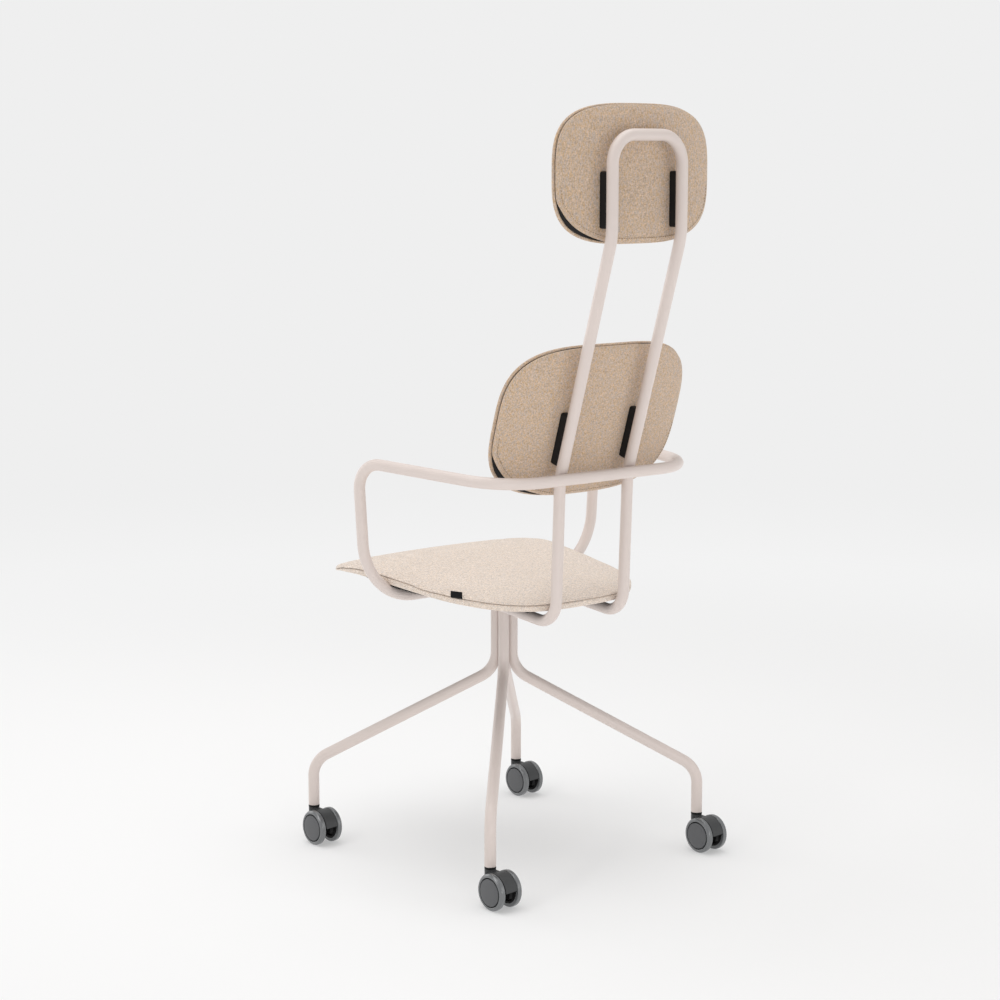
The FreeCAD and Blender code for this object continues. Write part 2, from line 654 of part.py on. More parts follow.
def span(start, middle, end):
    """An arc through three points, or a line where they are in line."""
    if (middle - (start + end) / 2).Length < LENGTH_TOLERANCE:
        return Part.LineSegment(start, end).toShape()
    return Part.Arc(start, middle, end).toShape()


def outline_width(half_width, taper, roundness, place):
    """Half width of a pad's outline at a place from -1 to 1 along it."""
    return (half_width - taper * place) * (1 - abs(place) ** roundness) ** (1 / roundness)


# Places of the sections along a pad, closer together towards its ends
SECTION_TURNS = [math.radians(turn) for turn in (-84, -72, -60, -45, -25, 0, 25, 45, 60, 72, 84)]
SECTIONS = [math.sin(turn) for turn in SECTION_TURNS]
# How late the crown falls away towards a pad's ends
ROUND_OFF = 4


def layer(half_length, width_at, low, edge, crown, low_crown, bulge, hollow, point):
    """One layer of a pad, lofted through sections across it.

    low is the distance of the layer's underside from the pad's reference face, edge its thickness
    at the rim, crown and low_crown the extra fullness of its two faces in the middle, hollow the
    radius that the pad is bent to (0 for a flat one), and point turns (across, along, out) into a place.
    """
    sections = []
    for place in SECTIONS:
        half = width_at(place)
        bend = half * half / (2 * hollow) if hollow else 0
        fullness = 1 - abs(place) ** ROUND_OFF
        along = place * half_length
        rim_low = low + low_crown + bend
        rim_high = rim_low + edge
        middle_low = low + low_crown * (1 - fullness)
        middle_high = low + low_crown + edge + crown * fullness
        middle = (rim_low + rim_high) / 2
        left_low = point(half, along, rim_low)
        left_high = point(half, along, rim_high)
        right_low = point(-half, along, rim_low)
        right_high = point(-half, along, rim_high)
        sections.append(Part.Wire([
            span(right_low, point(0, along, middle_low), left_low),
            span(left_low, point(half + bulge, along, middle), left_high),
            span(left_high, point(0, along, middle_high), right_high),
            span(right_high, point(-half - bulge, along, middle), right_low),
        ]))
    return Part.makeLoft(sections, True, False)


def upright_point(across, along, out):
    """Across, up and forward of the frame, for the head and back pads."""
    return Vector(across, -out, along)


def screw(name, length):
    """Countersunk screw that points down its own Z from a head whose top is at 0."""
    return turned(name, [
        ("0", "0"),
        ("screw_head / 2", "0"),
        ("screw_diameter / 2", "0 - screw_head_height"),
        ("screw_diameter / 2", f"0 - ( {length} )"),
        ("0", f"0 - ( {length} )"),
    ])


def countersunk(shape, heads, direction, length):
    """A plate less the countersinks and clearance holes of screws with their heads at these places."""
    gap = size("screw_gap")
    wide = size("screw_head") / 2 + gap
    narrow = size("screw_diameter") / 2 + gap
    depth = size("screw_head_height")
    tools = []
    for head in heads:
        above = Part.makeCylinder(wide, depth, head - direction * depth, direction)
        sink = Part.makeCone(wide, narrow, depth, head, direction)
        hole = Part.makeCylinder(narrow, length, head, direction)
        tools.append(above.fuse([sink, hole]).removeSplitter())
    return shape.cut(tools)


def round_cornered_bar(length, height):
    """Blank of a bracket: a bar along Y with rounded corners, its top at Z = 0."""
    width = size("bracket_width")
    bar = Part.makeBox(width, length, height, Vector(-width / 2, -length / 2, -height))
    upright = [edge for edge in bar.Edges if abs(edge.BoundBox.ZLength - height) < LENGTH_TOLERANCE]
    return bar.makeFillet(size("bracket_corner"), upright)


def upright_pad(name, placement):
    """Rear cover, shell, cushion, two brackets and their screws, on the two uprights."""
    bracket_drop = size(f"{name}_bracket_drop")
    half_width = size(f"{name}_half_width")
    half_height = size(f"{name}_half_height")
    hollow = size(f"{name}_hollow")
    across = size("frame_half_spacing")
    cover_low = TUBE_RADIUS + size("pad_stand_off")
    shell_low = cover_low + size("cover_crown") + size("cover_thickness") + size("layer_gap")
    cushion_low = shell_low + size("shell_thickness") + size("layer_gap")

    def cover_width(place):
        roundness = size("pad_roundness") if place >= 0 else size("pad_low_roundness")
        return outline_width(half_width - size("cover_inset"), 0, roundness, place)

    def shell_width(place):
        return outline_width(half_width - size("shell_inset"), 0, size("pad_roundness"), place)

    def cushion_width(place):
        return outline_width(half_width, 0, size("pad_roundness"), place)

    cover = layer(half_height - size("cover_inset"), cover_width, cover_low, size("cover_thickness"), 0,
                  size("cover_crown"), size("edge_bulge"), hollow, upright_point)
    shell = layer(half_height - size("shell_inset"), shell_width, shell_low, size("shell_thickness"), 0, 0,
                  0, hollow, upright_point)
    cushion = layer(half_height, cushion_width, cushion_low, size("cushion_edge"), size("cushion_crown"), 0,
                    size("edge_bulge"), hollow, upright_point)

    bend = across * across / (2 * hollow)
    shell_front = shell_low + size("shell_thickness") + bend
    bracket_front = cover_low + bend
    screw_length = shell_front - bracket_front + size("screw_reach")
    heads = []
    for label, side in SIDES:
        for step in (-0.5, 0.5):
            up = step * size("screw_spacing") - bracket_drop
            heads.append(Vector(side * across, -shell_front, up))
    cover = countersunk(cover, heads, Y_AXIS, screw_length)
    shell = countersunk(shell, heads, Y_AXIS, screw_length)
    solid(f"{name}_rear_cover", cover, placement)
    solid(f"{name}_shell", shell, placement)
    solid(f"{name}_cushion", cushion, placement)

    length = size("bracket_length")
    foot = -bracket_drop - length
    axis_forward = cover_low + size("cover_crown") + hollow
    keep_off = hollow + size("cover_crown") + size("seat_gap")
    pad_round = Part.makeCylinder(keep_off, 2 * length, Vector(0, -axis_forward, foot), Z_AXIS)
    frame = bent_bar(frame_corners(), [TUBE_RADIUS + size("seat_gap")])
    frame.Placement = placement.inverse().multiply(frame.Placement)
    reach = cover_low + size("pad_stand_off")
    for label, side in SIDES:
        bar = round_cornered_bar(length, reach - TUBE_RADIUS + size("bracket_wrap"))
        bar.Placement = Placement(Vector(side * across, -reach, -bracket_drop), Rotation(X_AXIS, 90))
        bar = bar.cut(frame).cut(pad_round)
        bar = countersunk(bar, heads, Y_AXIS, screw_length + size("screw_gap"))
        solid(f"{name}_bracket_{label}", bar, placement)

    template = screw(f"{name}_screw", f"{screw_length}")
    drive = Rotation(X_AXIS, 90)
    places = [placement.multiply(Placement(head, drive)) for head in heads]
    group(f"{name}_screws", template, places)


def headrest():
    """Pad on the upright stretch at the top of the back frame."""
    place = Placement(Vector(0, NECK_BACK, size("headrest_centre")), Rotation())
    upright_pad("headrest", place)


def backrest():
    """Pad on the leaning stretch of the back frame."""
    back = size("waist_back") + (size("backrest_centre") - size("waist_height")) * math.tan(LEAN)
    place = Placement(Vector(0, back, size("backrest_centre")), Rotation(X_AXIS, -size("lean")))
    upright_pad("backrest", place)


def seat_underside(y):
    """Height of the seat's underside: straight above the runs, then rolled over at the front."""
    above = (TUBE_RADIUS + size("seat_stand_off")) / math.cos(math.radians(size("run_slope")))
    start = size("seat_roll_start")
    if y >= start:
        return run_height(y) + above
    radius = size("seat_roll_radius")
    slope = math.radians(size("run_slope"))
    centre_y = start - radius * math.sin(slope)
    centre_z = run_height(start) + above - radius * math.cos(slope)
    return centre_z + math.sqrt(radius * radius - (y - centre_y) ** 2)


def seat():
    """Black pan, upholstered band, cushion, plain tab, two brackets and their screws."""
    half_length = (size("seat_rear") - size("seat_front")) / 2
    middle = (size("seat_rear") + size("seat_front")) / 2

    def seat_point(across, along, out):
        y = middle + along
        return Vector(across, y, seat_underside(y) + out)

    def width_inside(inset):
        half_width = size("seat_half_width") - inset

        def width(place):
            roundness = size("seat_rear_roundness") if place >= 0 else size("seat_front_roundness")
            return outline_width(half_width, size("seat_taper"), roundness, place)
        return width

    band_low = size("pan_thickness") + size("layer_gap")
    cushion_low = band_low + size("band_thickness") + size("layer_gap")
    pan = layer(half_length - size("pan_inset"), width_inside(size("pan_inset")), 0, size("pan_thickness"),
                0, 0, 0, 0, seat_point)
    band = layer(half_length, width_inside(0), band_low, size("band_thickness"), 0, 0,
                 size("edge_bulge"), 0, seat_point)
    cushion = layer(half_length, width_inside(0), cushion_low, size("seat_cushion_edge"),
                    size("seat_cushion_crown"), 0, size("edge_bulge"), 0, seat_point)

    slope = math.radians(size("run_slope"))
    down = Vector(0, -math.sin(slope), -math.cos(slope))
    head_rise = band_low + size("band_thickness")
    heads = []
    for label, side in SIDES:
        for step in (-0.5, 0.5):
            y = size("seat_bracket_centre") + step * size("seat_screw_spacing")
            heads.append(Vector(side * size("frame_half_spacing"), y, seat_underside(y) + head_rise))
    screw_length = head_rise + size("screw_reach")
    solid("seat_pan", countersunk(pan, heads, down, screw_length))
    solid("seat_band", countersunk(band, heads, down, screw_length))
    solid("seat_cushion", cushion)

    rods = [run_cylinder(f"seat_bracket_cope_{name}", side, "seat_gap") for name, side in SIDES]
    doc.recompute()
    drive = Rotation(X_AXIS, -size("run_slope"))
    height = size("seat_stand_off") + size("bracket_wrap") - size("layer_gap")
    y = size("seat_bracket_centre")
    top = seat_underside(y) - size("layer_gap")
    for (label, side), rod in zip(SIDES, rods):
        bar = round_cornered_bar(size("seat_bracket_length"), height)
        bar.Placement = Placement(Vector(side * size("frame_half_spacing"), y, top), drive)
        bar = countersunk(bar.cut(rod.Shape), heads, down, screw_length + size("screw_gap"))
        solid(f"seat_bracket_{label}", bar)

    template = screw("seat_screw", f"{screw_length}")
    group("seat_screws", template, [Placement(head, drive) for head in heads])

    tab_front = size("tab_back") - size("tab_width") / 2
    tab_rear = size("tab_back") + size("tab_width") / 2
    front_edge, rear_edge = [width_inside(0)((y - middle) / half_length) for y in (tab_front, tab_rear)]
    turn = math.degrees(math.asin((front_edge - rear_edge) / size("tab_width")))
    tab_x = front_edge + size("edge_bulge") + size("tab_clearance")
    tab_z = seat_underside(size("tab_back")) + cushion_low - size("tab_below")
    tab = box("seat_tab", "tab_thickness", "tab_width", "tab_height",
              Placement(Vector(tab_x, tab_front, tab_z), Rotation(Z_AXIS, turn)))
    node(tab, "seat_tab")


def write_parts():
    """Check everything, then write one file for each sub-part."""
    doc.recompute()
    for item in doc.Objects:
        if "Invalid" in item.State or "Error" in item.State:
            raise RuntimeError(f"{item.Label} failed: {item.State}")
    for item in nodes:
        if item.Shape.isNull() or not item.Shape.isValid():
            raise RuntimeError(f"{item.Label} has no valid shape")
    os.makedirs("parts", exist_ok=True)
    for item in nodes:
        item.Shape.exportStep(f"parts/{item.Label}.step")
    print(len(nodes), "sub-parts written")


leg_tubes()
swivel()
caster_sockets()
caster_pieces()
seat_plate()
back_frame()
arms()
headrest()
backrest()
seat()
write_parts()
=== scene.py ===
"""Dresses a high-backed conference chair: powder-coated tube, upholstered pads, moulded casters."""

import math

import bmesh
import bpy
from bpy.props import FloatProperty, FloatVectorProperty, IntProperty, PointerProperty
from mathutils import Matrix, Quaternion, Vector


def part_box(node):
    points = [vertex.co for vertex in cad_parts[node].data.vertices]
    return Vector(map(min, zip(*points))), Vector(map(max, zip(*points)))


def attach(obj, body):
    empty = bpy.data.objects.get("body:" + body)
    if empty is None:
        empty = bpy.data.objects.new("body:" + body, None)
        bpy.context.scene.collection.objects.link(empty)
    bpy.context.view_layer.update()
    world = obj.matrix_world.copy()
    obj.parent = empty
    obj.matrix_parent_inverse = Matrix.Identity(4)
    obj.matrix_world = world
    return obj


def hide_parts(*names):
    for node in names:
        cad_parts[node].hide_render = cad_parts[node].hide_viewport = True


bl_info = {
    "name": "Conference chair",
    "version": (1, 0, 0),
    "blender": (4, 5, 0),
    "location": "3D View > Sidebar > Chair",
    "description": "Builds the looks of a conference chair around its solid model",
    "category": "Object",
}

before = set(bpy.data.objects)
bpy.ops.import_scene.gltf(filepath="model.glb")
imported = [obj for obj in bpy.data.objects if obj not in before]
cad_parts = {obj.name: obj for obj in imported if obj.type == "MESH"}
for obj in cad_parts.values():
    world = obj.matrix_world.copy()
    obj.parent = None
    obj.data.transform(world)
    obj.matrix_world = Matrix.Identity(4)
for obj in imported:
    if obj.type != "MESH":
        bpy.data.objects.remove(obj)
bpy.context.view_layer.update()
MM = 0.001


def linear(hex_colour):
    """An sRGB colour such as #D9C6AC as linear red, green and blue."""
    channels = []
    for start in (1, 3, 5):
        value = int(hex_colour[start:start + 2], 16) / 255
        channels.append(value / 12.92 if value <= 0.04045 else ((value + 0.055) / 1.055) ** 2.4)
    return channels


def colour(label, description, hex_colour):
    """A colour that the user can change."""
    return FloatVectorProperty(name=label, description=description, subtype="COLOR", size=3, min=0, max=1,
                               default=linear(hex_colour))


def length(label, description, millimetres):
    """A length that the user can change, written in millimetres."""
    return FloatProperty(name=label, description=description, unit="LENGTH", default=millimetres * MM)


class ChairColours(bpy.types.PropertyGroup):
    """Colours of the chair's finishes and of the stage."""

    paint: colour("Paint", "Powder coat of the tubes", "#D1C5BF")
    # Painted sheen: the pale tone that the seat's cloth is mixed toward, for the light that its face catches
    painted_sheen_tone: colour("Pale yarn", "Nap of the cloth where it catches the light", "#EBE2DA")
    yarn_beige: colour("Beige yarn", "Main fibre of the cloth", "#C4AD97")
    yarn_ochre: colour("Ochre yarn", "Golden fibre of the cloth", "#C0A17C")
    yarn_grey: colour("Grey yarn", "Cool fibre of the cloth", "#B5A9A2")
    thread: colour("Thread", "Sewing thread", "#7B6549")
    black: colour("Black plastic", "Brackets, shells, pan and plugs", "#141415")
    hood: colour("Caster hood", "Housings of the casters", "#3A3B3C")
    nylon: colour("Wheel disc", "Discs of the wheels", "#505153")
    rubber: colour("Tread", "Soft tread of the wheels", "#5E6062")
    zinc: colour("Zinc plate", "Spindle, stems, axles and screws", "#B9B9B8")
    acetal: colour("Acetal", "Bush and thrust washer", "#DAD8D0")
    floor: colour("Floor", "Floor of the stage", "#F5F5F5")
    backdrop: colour("Backdrop", "Backdrop of the stage", "#EFEFEF")


class ChairSizes(bpy.types.PropertyGroup):
    """Sizes of the soft parts and of small trim."""

    cell: length("Cell", "Spacing of the points on a pad", 6.0)
    seam_gap: length("Seam", "Open seam between two upholstered layers", 1.1)
    roll: length("Edge roll", "Fullness of an upholstered edge", 1.5)
    puff: length("Puff", "Most that the cloth may swell", 3.0)
    stitch: length("Stitch", "Length of a stitch", 3.4)
    stitch_pitch: length("Stitch pitch", "Distance from stitch to stitch", 5.0)
    stitch_inset: length("Stitch inset", "Row of stitches to the pad's edge", 6.0)
    thread: length("Thread", "Thickness of the sewing thread", 0.8)
    steps: IntProperty(name="Cloth steps", description="Frames of the cloth simulation", default=20, min=1)


def colours():
    """The chair's colours."""
    return bpy.context.scene.chair_colours


def sizes():
    """The chair's sizes."""
    return bpy.context.scene.chair_sizes


# Materials


def add_node(tree, kind, settings=None, **links):
    """Add a shader node with its settings and links.

    settings holds properties and socket values. Each link feeds the input of that name, or of the number
    that follows an i.
    """
    made = tree.nodes.new(kind)
    for key, value in (settings or {}).items():
        if hasattr(made, key):
            setattr(made, key, value)
        else:
            made.inputs[key].default_value = value
    for key, source in links.items():
        socket = made.inputs[int(key[1:])] if key[0] == "i" and key[1:].isdigit() else made.inputs[key]
        tree.links.new(source, socket)
    return made


def new_material(name):
    """An empty material with its shader, and that shader's node tree."""
    material = bpy.data.materials.new(name)
    material.use_nodes = True
    tree = material.node_tree
    return material, tree, tree.nodes["Principled BSDF"]


def rgba(rgb):
    """A colour with full opacity."""
    return (*rgb, 1.0)


# Sizes of the finishes' patterns
PEEL_SIZE = 1.6 * MM
CLOUD_SIZE = 60 * MM
FLECK_SIZE = 2.0 * MM
YARN_SIZE = 1.2 * MM
THREAD_SPACING = 1.6 * MM
WEAR_SIZE = 25 * MM
TURNING_SIZE = 2.0 * MM
PLY_SIZE = 0.8 * MM
RIB_SPACING = 0.8 * MM
# A wave texture of scale 1 has this many bands to the metre
WAVE_BANDS = 20 / (2 * math.pi)


def mottle(tree, shader, rgb, pattern, least, most):
    """Base colour times a share between two values, which a pattern of 0 to 1 picks at each place."""
    share = add_node(tree, "ShaderNodeMapRange", {"To Min": least, "To Max": most}, Value=pattern)
    tint = add_node(tree, "ShaderNodeMix", {"data_type": "RGBA", "blend_type": "MULTIPLY", "Factor": 1.0},
                    i7=share.outputs["Result"])
    tint.inputs[6].default_value = rgba(rgb)
    tree.links.new(tint.outputs[2], shader.inputs["Base Color"])


def powder_coat():
    """Polyester powder coat on bent steel tube: satin, with the faint orange peel of a baked film."""
    material, tree, shader = new_material("powder_coated_steel_satin")
    place = add_node(tree, "ShaderNodeTexCoord").outputs["Object"]
    cloud = add_node(tree, "ShaderNodeTexNoise", {"Scale": 1 / CLOUD_SIZE, "Detail": 3.0}, Vector=place)
    mottle(tree, shader, colours().paint, cloud.outputs["Fac"], least=0.97, most=1.03)
    gloss = add_node(tree, "ShaderNodeMapRange", {"To Min": 0.36, "To Max": 0.46},
                     Value=cloud.outputs["Fac"])
    tree.links.new(gloss.outputs["Result"], shader.inputs["Roughness"])
    peel = add_node(tree, "ShaderNodeTexNoise", {"Scale": 1 / PEEL_SIZE, "Detail": 2.0}, Vector=place)
    relief = add_node(tree, "ShaderNodeBump", {"Strength": 0.25, "Distance": 0.03 * MM},
                      Height=peel.outputs["Fac"])
    tree.links.new(relief.outputs["Normal"], shader.inputs["Normal"])
    return material


# Fibres are drawn out along their yarn: upright on the back, front to rear on the seat, and across on both
WARP_UPRIGHT = (1.0, 1.0, 0.3)
WARP_SEAT = (1.0, 0.3, 1.0)
WEFT = (0.3, 1.0, 1.0)


def melange_cloth(name, along_warp, pale):
    """Wool-blend melange cloth: yarns spun from beige, ochre and grey fibre, soft and without gloss.

    The fibres run along the warp and along the weft, so their tones are drawn out both ways and cross.
    The real threads are half a millimetre apart, and are drawn two to three times as coarse so that they
    show. pale is the share of painted sheen: the yarns' colour is mixed by it toward a pale, lit tone.
    """
    material, tree, shader = new_material(name)
    place = add_node(tree, "ShaderNodeTexCoord").outputs["Object"]
    warp_place = add_node(tree, "ShaderNodeMapping", {"Scale": along_warp}, Vector=place).outputs["Vector"]
    weft_place = add_node(tree, "ShaderNodeMapping", {"Scale": WEFT}, Vector=place).outputs["Vector"]
    fleck = add_node(tree, "ShaderNodeTexNoise", {"Scale": 1 / FLECK_SIZE, "Detail": 4.0, "Roughness": 0.7},
                     Vector=warp_place)
    yarn = {"Scale": 1 / YARN_SIZE, "Detail": 3.0, "Roughness": 0.65}
    warp_tone = add_node(tree, "ShaderNodeTexNoise", yarn, Vector=warp_place)
    weft_tone = add_node(tree, "ShaderNodeTexNoise", yarn, Vector=weft_place)
    fibre = add_node(tree, "ShaderNodeMath", {"operation": "ADD"}, i0=warp_tone.outputs["Fac"],
                     i1=weft_tone.outputs["Fac"])
    shades = add_node(tree, "ShaderNodeValToRGB", None, Fac=fleck.outputs["Fac"])
    ramp = shades.color_ramp
    ramp.elements[0].position = 0.36
    ramp.elements[0].color = rgba(colours().yarn_grey)
    ramp.elements[1].position = 0.64
    ramp.elements[1].color = rgba(colours().yarn_ochre)
    ramp.elements.new(0.5).color = rgba(colours().yarn_beige)
    # Painted sheen: the yarn colours are mixed toward the pale tone by the share pale
    painted_sheen_mix = add_node(tree, "ShaderNodeMix", {"data_type": "RGBA", "Factor": pale}, i6=shades.outputs["Color"])
    painted_sheen_mix.inputs[7].default_value = rgba(colours().painted_sheen_tone)
    light = add_node(tree, "ShaderNodeMapRange", {"From Min": 0.7, "From Max": 1.3, "To Min": 0.6,
                                                  "To Max": 1.4}, Value=fibre.outputs["Value"])
    cloth = add_node(tree, "ShaderNodeMix", {"data_type": "RGBA", "blend_type": "MULTIPLY", "Factor": 1.0},
                     i6=painted_sheen_mix.outputs[2], i7=light.outputs["Result"])
    tree.links.new(cloth.outputs[2], shader.inputs["Base Color"])
    wave = {"Scale": 1 / (WAVE_BANDS * THREAD_SPACING), "Distortion": 1.2, "Detail": 1.0}
    warp = add_node(tree, "ShaderNodeTexWave", {"bands_direction": "X", **wave}, Vector=place)
    weft = add_node(tree, "ShaderNodeTexWave", {"bands_direction": "Z", **wave}, Vector=place)
    weave = add_node(tree, "ShaderNodeMath", {"operation": "MAXIMUM"}, i0=warp.outputs["Fac"],
                     i1=weft.outputs["Fac"])
    fuzz = add_node(tree, "ShaderNodeMath", {"operation": "MULTIPLY_ADD"}, i0=fibre.outputs["Value"],
                    i1=weave.outputs["Value"], i2=weave.outputs["Value"])
    relief = add_node(tree, "ShaderNodeBump", {"Strength": 0.5, "Distance": 0.35 * MM},
                      Height=fuzz.outputs["Value"])
    tree.links.new(relief.outputs["Normal"], shader.inputs["Normal"])
    shader.inputs["Roughness"].default_value = 0.95
    shader.inputs["Specular IOR Level"].default_value = 0.2
    shader.inputs["Sheen Weight"].default_value = 0.3
    shader.inputs["Sheen Roughness"].default_value = 0.5
    return material


def moulded_plastic(name, rgb, roughness, grain_mm, shine=0.5):
    """Injection-moulded plastic with a spark-eroded grain, which breaks up its reflections."""
    material, tree, shader = new_material(name)
    place = add_node(tree, "ShaderNodeTexCoord").outputs["Object"]
    wear = add_node(tree, "ShaderNodeTexNoise", {"Scale": 1 / WEAR_SIZE, "Detail": 4.0}, Vector=place)
    mottle(tree, shader, rgb, wear.outputs["Fac"], least=0.94, most=1.06)
    gloss = add_node(tree, "ShaderNodeMapRange", {"To Min": roughness - 0.03, "To Max": roughness + 0.03},
                     Value=wear.outputs["Fac"])
    tree.links.new(gloss.outputs["Result"], shader.inputs["Roughness"])
    grain = add_node(tree, "ShaderNodeTexNoise", {"Scale": 1 / (grain_mm * MM), "Detail": 2.0}, Vector=place)
    relief = add_node(tree, "ShaderNodeBump", {"Strength": 0.2, "Distance": 0.02 * MM},
                      Height=grain.outputs["Fac"])
    tree.links.new(relief.outputs["Normal"], shader.inputs["Normal"])
    shader.inputs["Specular IOR Level"].default_value = shine
    return material


def zinc_plate():
    """Zinc-plated steel: a bright metal with fine turning marks."""
    material, tree, shader = new_material("zinc_plated_steel")
    place = add_node(tree, "ShaderNodeTexCoord").outputs["Object"]
    marks = add_node(tree, "ShaderNodeTexNoise", {"Scale": 1 / TURNING_SIZE, "Detail": 3.0}, Vector=place)
    gloss = add_node(tree, "ShaderNodeMapRange", {"To Min": 0.25, "To Max": 0.4}, Value=marks.outputs["Fac"])
    tree.links.new(gloss.outputs["Result"], shader.inputs["Roughness"])
    shader.inputs["Base Color"].default_value = rgba(colours().zinc)
    shader.inputs["Metallic"].default_value = 1.0
    return material


def sewing_thread():
    """Spun polyester thread: matt, darker than the cloth, with the twist of its plies."""
    material, tree, shader = new_material("polyester_sewing_thread")
    place = add_node(tree, "ShaderNodeTexCoord").outputs["Object"]
    twist = add_node(tree, "ShaderNodeTexNoise", {"Scale": 1 / PLY_SIZE, "Detail": 1.0}, Vector=place)
    mottle(tree, shader, colours().thread, twist.outputs["Fac"], least=0.8, most=1.2)
    shader.inputs["Roughness"].default_value = 0.8
    return material


def woven_ribbon():
    """Plain black polyester ribbon: a fine cross rib and no gloss."""
    material, tree, shader = new_material("woven_ribbon_black")
    place = add_node(tree, "ShaderNodeTexCoord").outputs["Object"]
    wave = {"bands_direction": "Z", "Scale": 1 / (WAVE_BANDS * RIB_SPACING)}
    rib = add_node(tree, "ShaderNodeTexWave", wave, Vector=place)
    relief = add_node(tree, "ShaderNodeBump", {"Strength": 0.5, "Distance": 0.1 * MM},
                      Height=rib.outputs["Fac"])
    tree.links.new(relief.outputs["Normal"], shader.inputs["Normal"])
    shader.inputs["Base Color"].default_value = rgba(colours().black)
    shader.inputs["Roughness"].default_value = 0.9
    shader.inputs["Specular IOR Level"].default_value = 0.2
    return material


def material_named(name, make):
    """The material of this name, made once."""
    return bpy.data.materials.get(name) or make()


def paint_nodes(names, material):
    """Give CAD pieces a finish."""
    for name in names:
        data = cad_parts[name].data
        data.materials.clear()
        data.materials.append(material)
        for face in data.polygons:
            face.material_index = 0


def nodes_like(*endings):
    """Names of the CAD pieces that end in one of these words."""
    return [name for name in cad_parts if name.endswith(endings)]


SHARP_ANGLE = math.radians(40)


def soften(piece, width):
    """Round the sharp edges of a piece."""
    edge = piece.modifiers.new("soft_edge", "BEVEL")
    edge.width = width
    edge.segments = 2
    edge.limit_method = "ANGLE"
    edge.angle_limit = SHARP_ANGLE


# Meshes


MERGE_DISTANCE = 1e-6


def new_piece(name, points, faces, material):
    """A smooth mesh object in the chair's frame."""
    data = bpy.data.meshes.new(name)
    data.from_pydata(points, [], faces)
    data.materials.append(material)
    for face in data.polygons:
        face.use_smooth = True
    data.validate()
    piece = bpy.data.objects.new(name, data)
    bpy.context.scene.collection.objects.link(piece)
    return piece


def face_outwards(piece, merge=False):
    """Turn the faces of a closed mesh outwards, after joining points that coincide where that is asked."""
    mesh = bmesh.new()
    mesh.from_mesh(piece.data)
    if merge:
        bmesh.ops.remove_doubles(mesh, verts=mesh.verts, dist=MERGE_DISTANCE)
    bmesh.ops.recalc_face_normals(mesh, faces=mesh.faces)
    mesh.to_mesh(piece.data)
    mesh.free()


def square_rings(columns, rows):
    """Points of a square of -1 to 1, its faces, and its border in order."""
    points = []
    for row in range(rows + 1):
        for column in range(columns + 1):
            points.append((2 * column / columns - 1, 2 * row / rows - 1))
    faces = []
    across = columns + 1
    for row in range(rows):
        for column in range(columns):
            corner = row * across + column
            faces.append((corner, corner + 1, corner + across + 1, corner + across))
    border = list(range(columns))
    border += [row * across + columns for row in range(rows)]
    border += [rows * across + column for column in range(columns, 0, -1)]
    border += [row * across for row in range(rows, 0, -1)]
    return points, faces, border


def on_square(degrees):
    """Point of the border of a square of -1 to 1 that lies in this direction from its middle."""
    u = math.cos(math.radians(degrees))
    v = math.sin(math.radians(degrees))
    most = max(abs(u), abs(v))
    return u / most, v / most


def squircle(u, v, roundness):
    """Map a point of the square to the rounded outline |u|^n + |v|^n = 1, keeping its direction."""
    most = max(abs(u), abs(v))
    if most == 0:
        return 0.0, 0.0
    power = roundness(v)
    scale = ((abs(u) / most) ** power + (abs(v) / most) ** power) ** (1 / power)
    return u / scale, v / scale


def build_pad(name, outline, place, top, rim, bottom, material):
    """A closed pad: a crowned top, rolled sides and a flat back.

    outline(u, v) turns a point of the unit square into (across, along); top and bottom give the height
    there, the top also from how far out it is; rim lists (inset, height) of the rolled side from top to
    bottom, where a height may depend on the place and the first and last ones aren't used; and place turns
    (across, along, height) into a point of the chair.
    """
    across, along = outline(1, 0)[0], outline(0, 1)[1] - outline(0, -1)[1]
    columns = 2 * round(across / sizes().cell)
    rows = 2 * round(along / 2 / sizes().cell)
    square, quads, border = square_rings(columns, rows)
    flat = [outline(u, v) for u, v in square]
    edge = [Vector(flat[index]) for index in border]
    count = len(edge)
    outward = []
    for number in range(count):
        way = edge[(number + 1) % count] - edge[number - 1]
        outward.append(Vector((way.y, -way.x)).normalized())
    first_inset = rim[0][0]
    last_inset = rim[-1][0]
    points = []
    for (u, v), (x, y) in zip(square, flat):
        inner = shrunk(x, y, first_inset, across, along)
        points.append(place(*inner, top(*inner, max(abs(u), abs(v)))))
    faces = list(quads)
    ring = list(border)
    for inset, height in rim[1:-1]:
        start = len(points)
        for spot, way in zip(edge, outward):
            there = spot - way * inset
            level = height(there.x, there.y) if callable(height) else height
            points.append(place(there.x, there.y, level))
        new_ring = list(range(start, start + count))
        faces += band_of_faces(ring, new_ring)
        ring = new_ring
    start = len(points)
    for x, y in flat:
        inner = shrunk(x, y, last_inset, across, along)
        points.append(place(*inner, bottom(*inner)))
    back = [start + index for index in border]
    faces += band_of_faces(ring, back)
    faces += [tuple(start + index for index in reversed(face)) for face in quads]
    piece = new_piece(name, points, faces, material)
    piece["top_points"] = (columns + 1) * (rows + 1)
    face_outwards(piece)
    return piece


def band_of_faces(ring, after):
    """Faces between two closed rings of points with the same count."""
    count = len(ring)
    return [(ring[i], after[i], after[(i + 1) % count], ring[(i + 1) % count]) for i in range(count)]


def shrunk(x, y, inset, across, along):
    """A point of the outline drawn in by about this inset."""
    return x * (1 - inset / across), y * (1 - 2 * inset / along)


